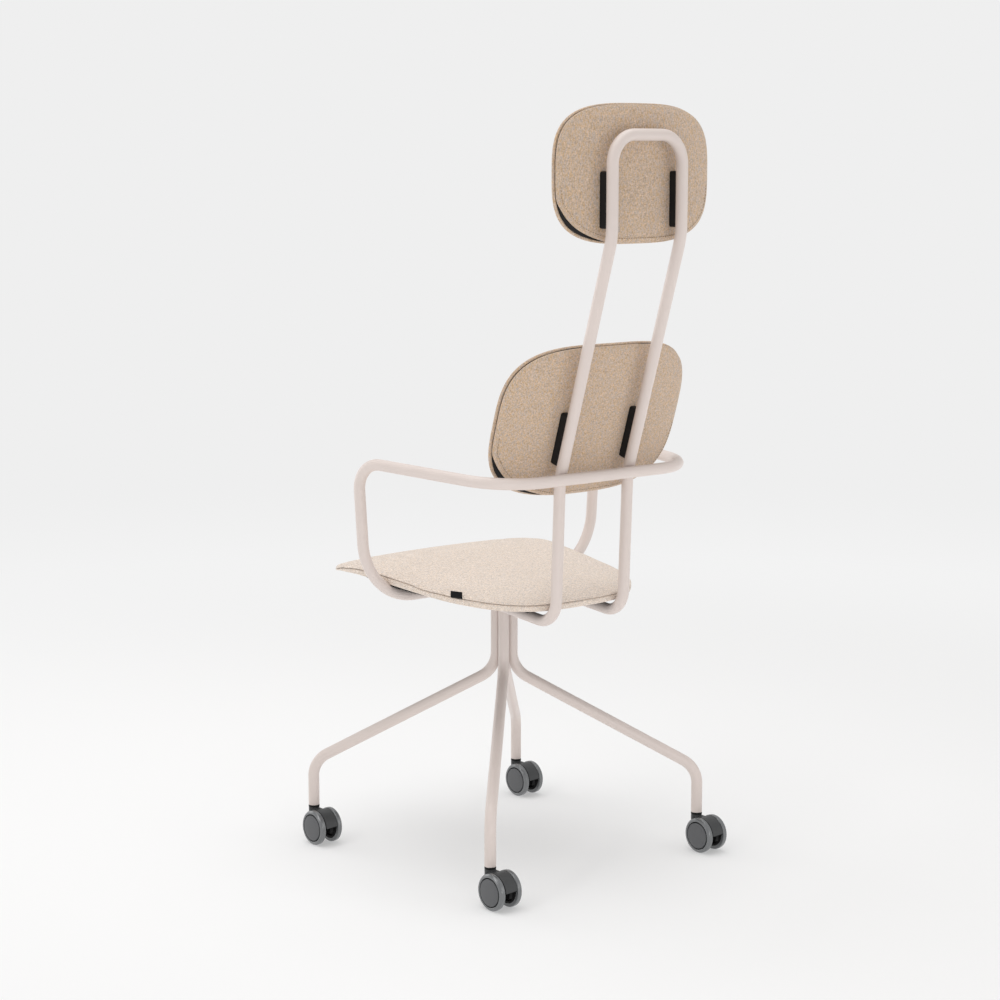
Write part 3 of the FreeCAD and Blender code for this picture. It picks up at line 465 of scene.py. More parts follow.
def swell(piece):
    """Let the pad's cloth swell under pressure, with its back and seam held, then keep the result."""
    scene = bpy.context.scene
    data = piece.data
    rest = [point.co.copy() for point in data.vertices]
    held = piece.vertex_groups.new(name="held")
    held.add(list(range(piece["top_points"], len(rest))), 1.0, "REPLACE")
    cloth = piece.modifiers.new("swell", "CLOTH")
    cloth.settings.quality = 6
    cloth.settings.mass = 0.25
    cloth.settings.tension_stiffness = 18
    cloth.settings.compression_stiffness = 18
    cloth.settings.shear_stiffness = 8
    cloth.settings.bending_stiffness = 4
    cloth.settings.vertex_group_mass = held.name
    cloth.settings.use_pressure = True
    cloth.settings.uniform_pressure_force = 4.0
    cloth.settings.effector_weights.gravity = 0.0
    cloth.collision_settings.use_collision = False
    cloth.point_cache.frame_start = 1
    cloth.point_cache.frame_end = sizes().steps
    for step in range(1, sizes().steps + 1):
        scene.frame_set(step)
    swollen = piece.evaluated_get(bpy.context.evaluated_depsgraph_get())
    moved = [point.co.copy() for point in swollen.data.vertices]
    piece.modifiers.remove(cloth)
    piece.vertex_groups.remove(held)
    scene.frame_set(1)
    for point, before, after in zip(data.vertices, rest, moved):
        step = after - before
        if step.length > sizes().puff:
            step *= sizes().puff / step.length
        point.co = before + step


def smooth_pad(piece):
    """One subdivision, so that the pad's outline is round."""
    modifier = piece.modifiers.new("round", "SUBSURF")
    modifier.levels = 1
    modifier.render_levels = 1


def dress(piece, body, slot, *replaced):
    """Let a piece ride on its body and stand for CAD pieces."""
    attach(piece, body)
    if replaced:
        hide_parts(*replaced)


# Rings of a stitch from end to end: place along its half length, and share of the thread's radius
STITCH_RINGS = ((-1.0, 0.35), (-0.6, 0.9), (0.0, 1.0), (0.6, 0.9), (1.0, 0.35))
STITCH_SIDES = 6
# Shares of that radius by which a stitch's middle stands over the cloth and its ends dip from there
STITCH_RISE = 0.25
STITCH_DIP = 0.9


def stitches(name, path, normal, material):
    """A row of short rounded stitches along a path of points, lying on cloth that faces one way."""
    points = []
    faces = []
    sides = STITCH_SIDES
    bands = len(STITCH_RINGS) - 1
    pitch = sizes().stitch_pitch
    half = sizes().stitch / 2
    radius = sizes().thread / 2
    travelled = 0.0
    due = pitch / 2
    for start, end in zip(path, path[1:]):
        span = (end - start).length
        along = (end - start).normalized()
        side = along.cross(normal).normalized()
        while due <= travelled + span:
            middle = start.lerp(end, (due - travelled) / span)
            base = len(points)
            for step, share in STITCH_RINGS:
                sunk = radius * (STITCH_RISE - STITCH_DIP * abs(step) ** 3)
                for turn in range(sides):
                    angle = 2 * math.pi * turn / sides
                    ring = side * math.cos(angle) + normal * math.sin(angle)
                    points.append(middle + along * half * step + normal * sunk + ring * radius * share)
            for row in range(bands):
                for turn in range(sides):
                    a = base + row * sides + turn
                    b = base + row * sides + (turn + 1) % sides
                    faces.append((a, b, b + sides, a + sides))
            faces.append(tuple(base + turn for turn in reversed(range(sides))))
            faces.append(tuple(base + bands * sides + turn for turn in range(sides)))
            due += pitch
        travelled += span
    return new_piece(name, points, faces, material)


def rays_about(axis, count):
    """Directions all round an axis."""
    side = axis.orthogonal().normalized()
    third = axis.cross(side)
    angles = [2 * math.pi * turn / count for turn in range(count)]
    return [side * math.cos(angle) + third * math.sin(angle) for angle in angles]


TURNED_SEGMENTS = 96


def lathe(name, profile, centre, axis, material):
    """A closed profile of (radius, distance along the axis) in millimetres, turned about an axis."""
    axis = Vector(axis)
    points = []
    for ray in rays_about(axis, TURNED_SEGMENTS):
        points += [centre + (ray * radius + axis * along) * MM for radius, along in profile]
    count = len(profile)
    faces = []
    for turn in range(TURNED_SEGMENTS):
        here = turn * count
        there = (turn + 1) % TURNED_SEGMENTS * count
        for step in range(count):
            after = (step + 1) % count
            faces.append((here + step, there + step, there + after, here + after))
    piece = new_piece(name, points, faces, material)
    face_outwards(piece, merge=True)
    return piece


def rounded_corners(profile, radii, steps=4):
    """A closed profile whose corners are rounded by these radii."""
    result = []
    count = len(profile)
    for number, radius in enumerate(radii):
        corner = Vector(profile[number])
        if radius == 0:
            result.append(tuple(corner))
            continue
        to_last = (Vector(profile[number - 1]) - corner).normalized()
        to_next = (Vector(profile[(number + 1) % count]) - corner).normalized()
        half = to_last.angle(to_next) / 2
        reach = radius / math.tan(half)
        middle = corner + (to_last + to_next).normalized() * radius / math.sin(half)
        start = corner + to_last * reach - middle
        end = corner + to_next * reach - middle
        for step in range(steps + 1):
            share = step / steps
            way = (start * (1 - share) + end * share).normalized() * radius
            result.append(tuple(middle + way))
    return result


def bead(name, points, radius, material, closed=False):
    """A round bead along a line of points."""
    data = bpy.data.curves.new(name, "CURVE")
    data.dimensions = "3D"
    data.bevel_depth = radius
    data.bevel_resolution = 3
    data.use_fill_caps = True
    line = data.splines.new("POLY")
    line.points.add(len(points) - 1)
    for spot, point in zip(line.points, points):
        spot.co = (*point, 1.0)
    line.use_cyclic_u = closed
    data.materials.append(material)
    piece = bpy.data.objects.new(name, data)
    bpy.context.scene.collection.objects.link(piece)
    return piece


# Pads


BODY = "seat_assembly"
PAD_ROUNDNESS = 3.3
COVER_INSET = 2.0 * MM
# The rear cover is drawn in at its lower left corner: middle and half width of the stretch, and the share
CORNER_MIDDLE = math.radians(45)
CORNER_HALF = math.radians(23)
CORNER_DRAWN = 0.05
COVER_THICKNESS = 4.5 * MM
COVER_BULGE = 0.8 * MM
SHELL_THICKNESS = 4.0 * MM
SHELL_INSET = 3.0 * MM
SHELL_CLEARANCE = 0.3 * MM
CUSHION_EDGE = 5.0 * MM
CUSHION_CROWN = 16.0 * MM
# Share of a crown that is modelled before the cloth swells
CROWN_MODELLED = 0.9
# Crowns and bulges level off with this power of the way out from a pad's middle
CROWN_POWER = 4
# Fall of a pad's top at its edge, and the power of the way out that it falls with
CUSHION_SHOULDER = (1.2 * MM, 12)
COVER_SHOULDER = (1.3 * MM, 14)
# Side of an upright pad's layer: share of its edge's height where it is fullest, rise over the seam where
# it turns in, and how far it then rises and reaches in over the shell
FULLEST_AT = 0.55
TURN_RISE = 1.0 * MM
TUCK_RISE = 0.2 * MM
TUCK_REACH = 2.0 * MM
# The cover's stitches run this many degrees round to each side of its lowest point
STITCHED_TURN = 80
STITCH_LIFT = 0.1 * MM
NEARLY_ONE = 0.9999
PADS = {"headrest": {"lean": 0.0, "hollow": 1.55}, "backrest": {"lean": math.radians(17), "hollow": 1.2}}


def in_pad(point, lean):
    """Across, along and out of a leaning pad, for a point of the chair."""
    return (point.x, point.y * math.sin(lean) + point.z * math.cos(lean),
            point.z * math.sin(lean) - point.y * math.cos(lean))


def out_of_pad(across, along, out, lean):
    """Point of the chair for a place in a leaning pad."""
    return Vector((across, along * math.sin(lean) - out * math.cos(lean),
                   along * math.cos(lean) + out * math.sin(lean)))


def pad_extent(node, lean):
    """Lowest and highest (across, along, out) of a CAD piece of a leaning pad."""
    places = [in_pad(point.co, lean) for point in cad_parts[node].data.vertices]
    return [min(values) for values in zip(*places)], [max(values) for values in zip(*places)]


def fullness(across, v, half_width, roundness):
    """Share of the crown at a distance across and a place along of -1 to 1, down to 0 at the outline."""
    level = min(abs(v), NEARLY_ONE)
    width = half_width * (1 - level ** roundness) ** (1 / roundness)
    return max(0.0, 1 - (across / width) ** 2) * (1 - level ** CROWN_POWER)


def shoulder_fall(shoulder, share):
    """Fall of a pad's top at this share of the way out from its middle."""
    depth, power = shoulder
    return depth * share ** power


def rolled_side(edge, shoulder, side, drop, fullest, lower, tuck):
    """Rim of an upright pad's layer, from its shoulder round the side to the seam and in over the shell.

    shoulder, side and tuck are insets, and drop is the fall from the edge to the side. fullest and lower
    are shares of the edge roll by which the cloth stands out half way down and just above the seam.
    """
    roll = sizes().roll
    half_seam = sizes().seam_gap / 2
    return [(shoulder, 0), (side, edge - drop), (-fullest * roll, FULLEST_AT * edge),
            (-lower * roll, half_seam + TURN_RISE), (tuck, half_seam),
            (SHELL_INSET + SHELL_CLEARANCE, half_seam + TUCK_RISE), (SHELL_INSET + TUCK_REACH, 0)]


def upright_pad(name, lean, hollow):
    """Front cushion and rear cover of the headrest or backrest, and the stitches along the cover."""
    low, high = pad_extent(f"{name}_cushion", lean)
    half_width = (high[0] - low[0]) / 2 - sizes().roll
    half_height = (high[1] - low[1]) / 2
    middle = (high[1] + low[1]) / 2
    shell_rear = pad_extent(f"{name}_shell", lean)[0][2]
    seam = shell_rear + SHELL_THICKNESS / 2
    over_shell = SHELL_THICKNESS / 2 + SHELL_CLEARANCE
    front_edge = over_shell + CUSHION_EDGE
    rear_edge = over_shell + COVER_THICKNESS
    cloth_name = "wool_melange_upright"
    cloth = material_named(cloth_name, lambda: melange_cloth(cloth_name, WARP_UPRIGHT, pale=0.0))

    def cushion_outline(u, v):
        u, v = squircle(u, v, lambda place: PAD_ROUNDNESS)
        return u * half_width, v * half_height

    def cover_outline(u, v):
        u, v = squircle(u, v, lambda place: PAD_ROUNDNESS)
        if u > 0 > v:
            corner = (math.atan2(-v, u) - CORNER_MIDDLE) / CORNER_HALF
            drawn = 1 - CORNER_DRAWN * max(0.0, 1 - corner * corner)
            u, v = u * drawn, v * drawn
        return u * (half_width - COVER_INSET), v * (half_height - COVER_INSET)

    def in_front(across, along, out):
        bend = across * across / (2 * hollow)
        return out_of_pad(across, along + middle, seam + bend + out, lean)

    def behind(across, along, out):
        return in_front(across, along, -out)

    def front_top(across, along, share):
        full = fullness(across, along / half_height, half_width, PAD_ROUNDNESS)
        return front_edge + CROWN_MODELLED * CUSHION_CROWN * full - shoulder_fall(CUSHION_SHOULDER, share)

    def rear_top(across, along, share):
        return rear_edge + COVER_BULGE * (1 - share ** CROWN_POWER) - shoulder_fall(COVER_SHOULDER, share)

    def flat_back(across, along):
        return over_shell

    front_rim = rolled_side(front_edge, shoulder=2.2 * MM, side=0.6 * MM, drop=2.2 * MM, fullest=1.0,
                            lower=0.6, tuck=0.8 * MM)
    cushion = build_pad(f"{name}_front_cushion", cushion_outline, in_front, front_top, front_rim, flat_back,
                        cloth)
    swell(cushion)
    smooth_pad(cushion)
    dress(cushion, BODY, "upholstery", f"{name}_cushion")

    rear_rim = rolled_side(rear_edge, shoulder=3.4 * MM, side=1.2 * MM, drop=2.3 * MM, fullest=0.7,
                           lower=0.4, tuck=0.9 * MM)
    cover = build_pad(f"{name}_rear_upholstery", cover_outline, behind, rear_top, rear_rim, flat_back, cloth)
    smooth_pad(cover)
    dress(cover, BODY, "upholstery", f"{name}_rear_cover")

    path = []
    for turn in range(-STITCHED_TURN, STITCHED_TURN + 1):
        edge = cover_outline(*on_square(turn - 90))
        spot = shrunk(*edge, sizes().stitch_inset, half_width, 2 * half_height)
        path.append(behind(*spot, rear_edge + STITCH_LIFT))
    normal = (behind(0, 0, 1) - behind(0, 0, 0)).normalized()
    thread = material_named("polyester_sewing_thread", sewing_thread)
    row = stitches(f"{name}_stitches", path, normal, thread)
    dress(row, BODY, "upholstery")


# Seat


SEAT_SLOPE = math.radians(5.5)
SEAT_ROLL_START = -110 * MM
SEAT_ROLL_RADIUS = 408 * MM
SEAT_TAPER = 24 * MM
SEAT_FRONT_ROUNDNESS = 5.2
SEAT_REAR_ROUNDNESS = 3.2
SEAT_BAND = 6.4 * MM
SEAT_CUSHION_EDGE = 7.0 * MM
SEAT_CUSHION_CROWN = 6.5 * MM
SEAT_SHOULDER = (1.5 * MM, 10)
OUTLINE_STEPS = 200
LAYER_GAP = 0.4 * MM
PAN_THICKNESS = 3.5 * MM
PAN_INSET = 4.0 * MM
# Rise of the seam along the seat's sides, at distances behind the swivel axis, in millimetres
SEAM_WAVE = ((-248, -10), (-215, -5), (-180, -3), (-130, -2), (-90, 0), (-10, -0.3), (30, -3), (65, -1.7),
             (130, 0), (204, 0))
# Share of that rise that the top of the cushion follows, and how fast it dies out towards the middle
WAVE_ON_TOP = 0.4
WAVE_POWER = 3
# Extra fall of the whole front edge
FRONT_FALL = ((-248, -10.5), (-235, -7.5), (-209, -4.5), (-170, -2), (-120, 0), (204, 0))
# Hem of the band above the underside of the pan
HEM = ((-248, -7), (-230, -3), (-200, -0.6), (-160, -1.4), (-100, -1.6), (-72, -0.4), (-45, -1.6),
       (60, -1.5), (130, -0.6), (204, -0.3))
# Black lip of the pan, up from that hem: it shows below the band only in the middle of the seat's sides
LIP = ((-248, 2.2), (-125, 2.2), (-95, -0.6), (-20, -0.6), (50, 2), (204, 2))
LIP_INSET = 2.4 * MM
LIP_RADIUS = 1.2 * MM


def along_table(table, y):
    """Smooth value at y from a table of (y, value) rows, both in millimetres, in metres."""
    place = y / MM
    for (start, before), (end, after) in zip(table, table[1:]):
        if place <= end:
            share = max(0.0, (place - start) / (end - start))
            return (before + (after - before) * share * share * (3 - 2 * share)) * MM
    return table[-1][1] * MM


def seat_drop(y):
    """Height of the seat's underside from where it starts to roll over at the front."""
    if y >= SEAT_ROLL_START:
        return (SEAT_ROLL_START - y) * math.tan(SEAT_SLOPE)
    back = y - SEAT_ROLL_START + SEAT_ROLL_RADIUS * math.sin(SEAT_SLOPE)
    return math.sqrt(SEAT_ROLL_RADIUS ** 2 - back ** 2) - SEAT_ROLL_RADIUS * math.cos(SEAT_SLOPE)


def seat_roundness(v):
    """Roundness of the seat's outline at its rear or front, which are at 1 and -1."""
    return SEAT_REAR_ROUNDNESS if v >= 0 else SEAT_FRONT_ROUNDNESS


def untapered_half_width(widest):
    """Half width of the seat at its middle, from the half width where the taper makes it widest."""
    shares = [index / OUTLINE_STEPS for index in range(-OUTLINE_STEPS, 0)]
    power = SEAT_FRONT_ROUNDNESS
    fullest = max((1 - SEAT_TAPER / widest * v) * (1 - abs(v) ** power) ** (1 / power) for v in shares)
    return widest / fullest


def seat_pad():
    """Seat cushion, the upholstered band round the pan's edge, the pan's lip and the tab in the seam."""
    low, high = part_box("seat_band")
    half_length = (high.y - low.y) / 2
    middle = (high.y + low.y) / 2
    half_width = untapered_half_width((high.x - low.x) / 2 - sizes().roll)
    pan_low, pan_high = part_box("seat_pan")
    underside = pan_low.z - min(seat_drop(pan_low.y), seat_drop(pan_high.y))
    cloth_name = "wool_melange_seat_painted_sheen"
    # The seat's cloth has painted sheen: its colour is mixed 0.55 of the way toward the pale tone
    cloth = material_named(cloth_name, lambda: melange_cloth(cloth_name, WARP_SEAT, pale=0.55))
    seam_rise = PAN_THICKNESS + LAYER_GAP + SEAT_BAND + LAYER_GAP / 2
    roll = sizes().roll
    half_seam = sizes().seam_gap / 2

    def outline(u, v):
        u, v = squircle(u, v, seat_roundness)
        return u * (half_width - SEAT_TAPER * v), v * half_length

    def seam(across, along, follow=1.0):
        y = along + middle
        side = min(1.0, abs(across) / half_width) ** WAVE_POWER
        return seam_rise + along_table(FRONT_FALL, y) + follow * side * along_table(SEAM_WAVE, y)

    def place(across, along, rise):
        y = along + middle
        return Vector((across, y, underside + seat_drop(y) + rise))

    def over_seam(height, follow=1.0):
        return lambda across, along: seam(across, along, follow) + height

    def top(across, along, share):
        v = along / half_length
        full = fullness(across, v, half_width - SEAT_TAPER * v, seat_roundness(v))
        crown = SEAT_CUSHION_EDGE + CROWN_MODELLED * SEAT_CUSHION_CROWN * full
        return seam(across, along, WAVE_ON_TOP) + crown - shoulder_fall(SEAT_SHOULDER, share)

    rim = [(5.0 * MM, 0), (2.0 * MM, over_seam(SEAT_CUSHION_EDGE - 2.9 * MM, WAVE_ON_TOP)),
           (0.1 * MM, over_seam(SEAT_CUSHION_EDGE * 0.36, 0.7)), (-roll, over_seam(1.4 * MM)),
           (0.2 * MM, over_seam(half_seam * 0.6)), (3 * MM, over_seam(0.3 * MM)), (6 * MM, 0)]
    cushion = build_pad("seat_top_cushion", outline, place, top, rim, over_seam(0.2 * MM), cloth)
    swell(cushion)
    smooth_pad(cushion)
    dress(cushion, BODY, "upholstery", "seat_cushion")

    def over_pan(across, along, share):
        return min(PAN_THICKNESS + 0.2 * MM, seam(across, along) - 0.5 * MM)

    def hem(height):
        return lambda across, along: along_table(HEM, along + middle) + height

    def up_band(share):
        return lambda across, along: (1 - share) * hem(0)(across, along) + share * seam(across, along)

    wrap = PAN_INSET - LAYER_GAP
    band_rim = [(wrap, 0), (wrap, hem(0.8 * MM)), (0.6 * wrap, hem(0)), (0.4 * MM, hem(1.0 * MM)),
                (-0.5 * roll, up_band(0.45)), (-0.8 * roll, up_band(0.8)),
                (0.2 * MM, over_seam(-half_seam * 0.6)), (3 * MM, over_seam(-0.3 * MM)), (6 * MM, 0)]
    band = build_pad("seat_lower_band", outline, place, over_pan, band_rim, over_seam(-0.2 * MM), cloth)
    smooth_pad(band)
    dress(band, BODY, "upholstery", "seat_band")

    edge = []
    for turn in range(360):
        across, along = shrunk(*outline(*on_square(turn)), LIP_INSET, half_width, 2 * half_length)
        edge.append(place(across, along, hem(along_table(LIP, along + middle))(across, along)))
    lip = bead("seat_pan_lip", edge, LIP_RADIUS, bpy.data.materials["glass_filled_nylon_black"], closed=True)
    dress(lip, BODY, "black_plastic")
    seam_tab("woven_tab", *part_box("seat_tab"))


TAB_THICKNESS = 1.2 * MM
TAB_EDGE = 0.4 * MM
# The tab from the seam upwards, in millimetres: out from the solid tab's inner face, height above its foot
TAB_PROFILE = ((-3.0, 1.6), (-0.4, 1.8), (0.5, 3.2), (0.7, 6.0), (0.5, 9.5), (0.2, 12.6))


def seam_tab(name, low, high):
    """Plain black ribbon folded double, sewn into the seat's seam and standing against the cushion."""
    front = Vector((high.x - TAB_THICKNESS, low.y, low.z))
    rear = Vector((low.x, high.y, low.z))
    along = (rear - front).normalized()
    out = Vector((along.y, -along.x, 0))
    columns = 8
    points = []
    for column in range(columns + 1):
        foot = front.lerp(rear, column / columns)
        points += [foot + out * reach * MM + Vector((0, 0, rise * MM)) for reach, rise in TAB_PROFILE]
    count = len(TAB_PROFILE)
    faces = []
    for column in range(columns):
        for row in range(count - 1):
            corner = column * count + row
            faces.append((corner, corner + count, corner + count + 1, corner + 1))
    tab = new_piece(name, points, faces, material_named("woven_ribbon_black", woven_ribbon))
    double = tab.modifiers.new("double", "SOLIDIFY")
    double.thickness = TAB_THICKNESS
    double.offset = 0
    soften(tab, TAB_EDGE)
    dress(tab, BODY, "black_tab", "seat_tab")


# Frame, fittings and casters


class FrameFinish(bpy.types.Operator):
    """Powder coat on the bent tubes, the hub and the seat plate"""

    bl_idname = "chair.frame_finish"
    bl_label = "Frame finish"

    def execute(self, context):
        painted = nodes_like("leg_tube_1", "leg_tube_2", "leg_tube_3", "leg_tube_4", "hub_disc",
                             "swivel_housing", "seat_plate", "back_frame_tube", "arm_tube")
        paint_nodes(painted, powder_coat())
        for name in painted:
            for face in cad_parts[name].data.polygons:
                face.use_smooth = True
        return {"FINISHED"}


WELD_RADIUS = 1.3 * MM
TUBE_RADIUS = 9.5 * MM
RUN_ACROSS = 74.5 * MM
# The runs' middle at the swivel axis above the seat plate's underside
RUN_OVER_PLATE = 5.0 * MM
CROSSING_RING = 4.5 * MM
RING_POINTS = 48
SEAM_STEPS = 20


def beside_run(y, z, run_level):
    """How far from a run's middle plane its wall is, at a distance behind the axis and a height."""
    off = (z - run_level + y * math.tan(SEAT_SLOPE)) * math.cos(SEAT_SLOPE)
    return math.sqrt(max(0.0, TUBE_RADIUS ** 2 - off ** 2))


def weld_lines():
    """Lines of the welds, each with a name and whether it closes on itself."""
    plate_low, plate_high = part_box("seat_plate")
    run_level = plate_low.z + RUN_OVER_PLATE
    housing_low, housing_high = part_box("swivel_housing")
    housing_radius = (housing_high.x - housing_low.x) / 2
    lines = []
    for face, level in (("under", plate_low.z), ("over", plate_high.z)):
        middle = Vector((0, 0, level))
        circle = [middle + ray * housing_radius for ray in rays_about(Vector((0, 0, 1)), RING_POINTS)]
        lines.append((f"housing_{face}", circle, True))
    arm = [corner.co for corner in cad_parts["arm_tube"].data.vertices]
    rearmost = max(corner.y for corner in arm)
    rear_level = [corner.z for corner in arm if corner.y > rearmost - WELD_RADIUS]
    crossing_level = (max(rear_level) + min(rear_level)) / 2
    inner_end = [corner.y for corner in arm if abs(corner.x) < RUN_ACROSS + TUBE_RADIUS
                 and corner.z < plate_high.z]
    end_y = (max(inner_end) + min(inner_end)) / 2
    end_z = run_level - end_y * math.tan(SEAT_SLOPE)
    for side, way in (("left", 1), ("right", -1)):
        for face, level in (("under", plate_low.z), ("over", plate_high.z)):
            depth = plate_high.y - plate_low.y
            steps = [plate_low.y + depth * step / SEAM_STEPS for step in range(SEAM_STEPS + 1)]
            seam = [Vector((way * (RUN_ACROSS - beside_run(y, level, run_level)), y, level)) for y in steps]
            lines.append((f"plate_{face}_{side}", seam, False))
        crossing = Vector((way * RUN_ACROSS, rearmost - 2 * TUBE_RADIUS, crossing_level))
        circle = [crossing + ray * CROSSING_RING for ray in rays_about(Vector((0, 1, 0)), RING_POINTS // 2)]
        lines.append((f"arm_crossing_{side}", circle, True))
        saddle = []
        for ray in rays_about(Vector((1, 0, 0)), RING_POINTS):
            y, z = end_y + ray.y * TUBE_RADIUS, end_z + ray.z * TUBE_RADIUS
            saddle.append(Vector((way * (RUN_ACROSS + beside_run(y, z, run_level)), y, z)))
        lines.append((f"arm_end_{side}", saddle, True))
    return lines


class Welds(bpy.types.Operator):
    """Beads of weld that hold the frame together, under the same powder coat"""

    bl_idname = "chair.welds"
    bl_label = "Welds"

    def execute(self, context):
        coat = bpy.data.materials["powder_coated_steel_satin"]
        for name, line, closed in weld_lines():
            dress(bead(f"weld_{name}", line, WELD_RADIUS, coat, closed), BODY, "frame_paint")
        return {"FINISHED"}


BRACKET_EDGE = 0.8 * MM


class FittingsFinish(bpy.types.Operator):
    """Plastic and plated finishes of the brackets, plugs, shells and the swivel"""

    bl_idname = "chair.fittings_finish"
    bl_label = "Fittings finish"

    def execute(self, context):
        black = moulded_plastic("glass_filled_nylon_black", colours().black, roughness=0.55, grain_mm=0.8,
                                shine=0.2)
        for name in nodes_like("bracket_left", "bracket_right"):
            soften(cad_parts[name], BRACKET_EDGE)
        paint_nodes(nodes_like("_shell", "bracket_left", "bracket_right", "seat_pan", "run_end_plugs",
                               "caster_sockets"), black)
        paint_nodes(nodes_like("thrust_washer", "swivel_bush"),
                    moulded_plastic("acetal_turned", colours().acetal, roughness=0.4, grain_mm=1.0))
        paint_nodes(nodes_like("swivel_spindle", "retaining_washer", "swivel_bolt", "caster_stems",
                               "_screws", "_axle"), zinc_plate())
        return {"FINISHED"}


CASTERS = (1, 2, 3, 4)
# Painted shade: the hood's faces this near to the axle are painted black for the shade inside it
HOOD_PAINTED_SHADE_REACH = 26.5 * MM
# Painted shade: a wheel's faces nearer than this to its inner face, behind its cap, are painted black
WHEEL_PAINTED_SHADE_DEPTH = 9.0 * MM
# Turned outlines of a wheel in millimetres: (radius, distance from the wheel's inner face)
WHEEL_DISC = ((0.0, 11.9), (12.0, 11.8), (22.2, 11.2), (22.2, 8.8), (24.0, 8.8), (24.0, 1.2),
              (20.5, 1.2), (20.5, 7.5), (8.0, 7.5), (8.0, 0.0), (3.05, 0.0), (3.05, 7.5), (0.0, 7.5))
WHEEL_DISC_ROUNDING = (0, 0, 1.0, 0.4, 0.4, 0, 0.6, 0, 0, 0.5, 0, 0, 0)
WHEEL_TREAD = ((24.05, 10.3), (24.9, 10.9), (27.2, 10.7), (30.0, 8.0), (30.0, 2.2), (28.6, 1.0),
               (24.05, 1.0))
WHEEL_TREAD_ROUNDING = (0.2, 0.4, 0.8, 2.0, 1.2, 0.8, 0.2)


class Casters(bpy.types.Operator):
    """Twin-wheel casters"""

    bl_idname = "chair.casters"
    bl_label = "Casters"

    def execute(self, context):
        nylon = moulded_plastic("nylon_moulded_grey", colours().nylon, roughness=0.45, grain_mm=0.8)
        dark = moulded_plastic("nylon_moulded_dark", colours().hood, roughness=0.5, grain_mm=0.8, shine=0.35)
        # Black nylon that paints shade into the hood's inside and the wheels' inner sides
        hollow = moulded_plastic("nylon_black_painted_shade", colours().black, roughness=0.6, grain_mm=0.8,
                                 shine=0.1)
        rubber = moulded_plastic("polyurethane_tread", colours().rubber, roughness=0.22, grain_mm=0.6,
                                 shine=1.0)
        housings = [f"caster_{number}_housing" for number in CASTERS]
        paint_nodes(housings, dark)
        for name in housings:
            low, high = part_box(name.replace("housing", "axle"))
            middle = (low + high) / 2
            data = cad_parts[name].data
            data.materials.append(hollow)
            # Painted shade: faces inside the hood, and those below the axle's top, get the black material
            for face in data.polygons:
                if (face.center.yz - middle.yz).length < HOOD_PAINTED_SHADE_REACH or face.center.z < high.z:
                    face.material_index = 1
        disc = rounded_corners(WHEEL_DISC, WHEEL_DISC_ROUNDING)
        tyre = rounded_corners(WHEEL_TREAD, WHEEL_TREAD_ROUNDING, steps=6)
        for number in CASTERS:
            for side, way in (("left", 1), ("right", -1)):
                body = f"caster_{number}_{side}_wheel"
                low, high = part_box(f"{body}_core")
                inner = low.x if way > 0 else high.x
                centre = Vector((inner, (low.y + high.y) / 2, (low.z + high.z) / 2))
                core = lathe(f"{body}_disc", disc, centre, (way, 0, 0), nylon)
                # Painted shade: the wheel's inner side, behind the cap, gets the black material
                core.data.materials.append(hollow)
                for face in core.data.polygons:
                    if abs(face.center.x - inner) < WHEEL_PAINTED_SHADE_DEPTH:
                        face.material_index = 1
                dress(core, body, "caster_plastic", f"{body}_core")
                tread = lathe(f"{body}_tyre", tyre, centre, (way, 0, 0), rubber)
                dress(tread, body, "tread_rubber", f"caster_{number}_{side}_tread")
        return {"FINISHED"}


# Upholstery


class UprightPads(bpy.types.Operator):
    """Headrest and backrest"""

    bl_idname = "chair.upright_pads"
    bl_label = "Headrest and backrest"

    def execute(self, context):
        for name, facts in PADS.items():
            upright_pad(name, **facts)
        return {"FINISHED"}


class SeatPad(bpy.types.Operator):
    """Seat cushion and band"""

    bl_idname = "chair.seat_pad"
    bl_label = "Seat"

    def execute(self, context):
        seat_pad()
        return {"FINISHED"}


# Stage


CAMERA_PLACE = Vector((2.5046, 2.9548, 1.1865))
CAMERA_TURN = math.radians(139.822)
CAMERA_DIP = math.radians(8.5437)
CAMERA_LENS = 82.78
FLOOR_RADIUS = 40.0
FLOOR_SEGMENTS = 96
# The floor glows a little near the chair and fully far off, where it takes on the backdrop's tone
GLOW_NEAR = 0.35
FADE_START = 0.9
FADE_END = 3.0
TONE_START = 1.7
TONE_END = 4.6
# Light that the floor's glow throws on the chair, against what the eye sees of it
FLOOR_BOUNCE = 1.5
# Even light from all round
FILL_COLOUR = (1.0, 0.99, 0.98, 1.0)
FILL_STRENGTH = 0.56
LAMPS = {
    "overhead": {"place": (0.1, -0.3, 3.4), "aim": (0, 0, 0.4), "size": (2.8, 2.8), "power": 55},
    "side": {"place": (2.7, -0.1, 2.65), "aim": (0, 0, 0.4), "size": (2.2, 0.45), "power": 13,
             "roll": math.radians(-38)},
    "key": {"place": (-1.4, 3.2, 1.2), "aim": (0, 0, 0.6), "size": (1.6, 1.6), "power": 10},
    "front": {"place": (1.2, -3.2, 1.3), "aim": (0, 0, 0.5), "size": (1.8, 1.8), "power": 14},
    "low": {"place": (1.3, 2.6, 0.5), "aim": (0, 0, 0.15), "size": (0.6, 0.6), "power": 0.9,
            "spread": math.radians(50)},
}


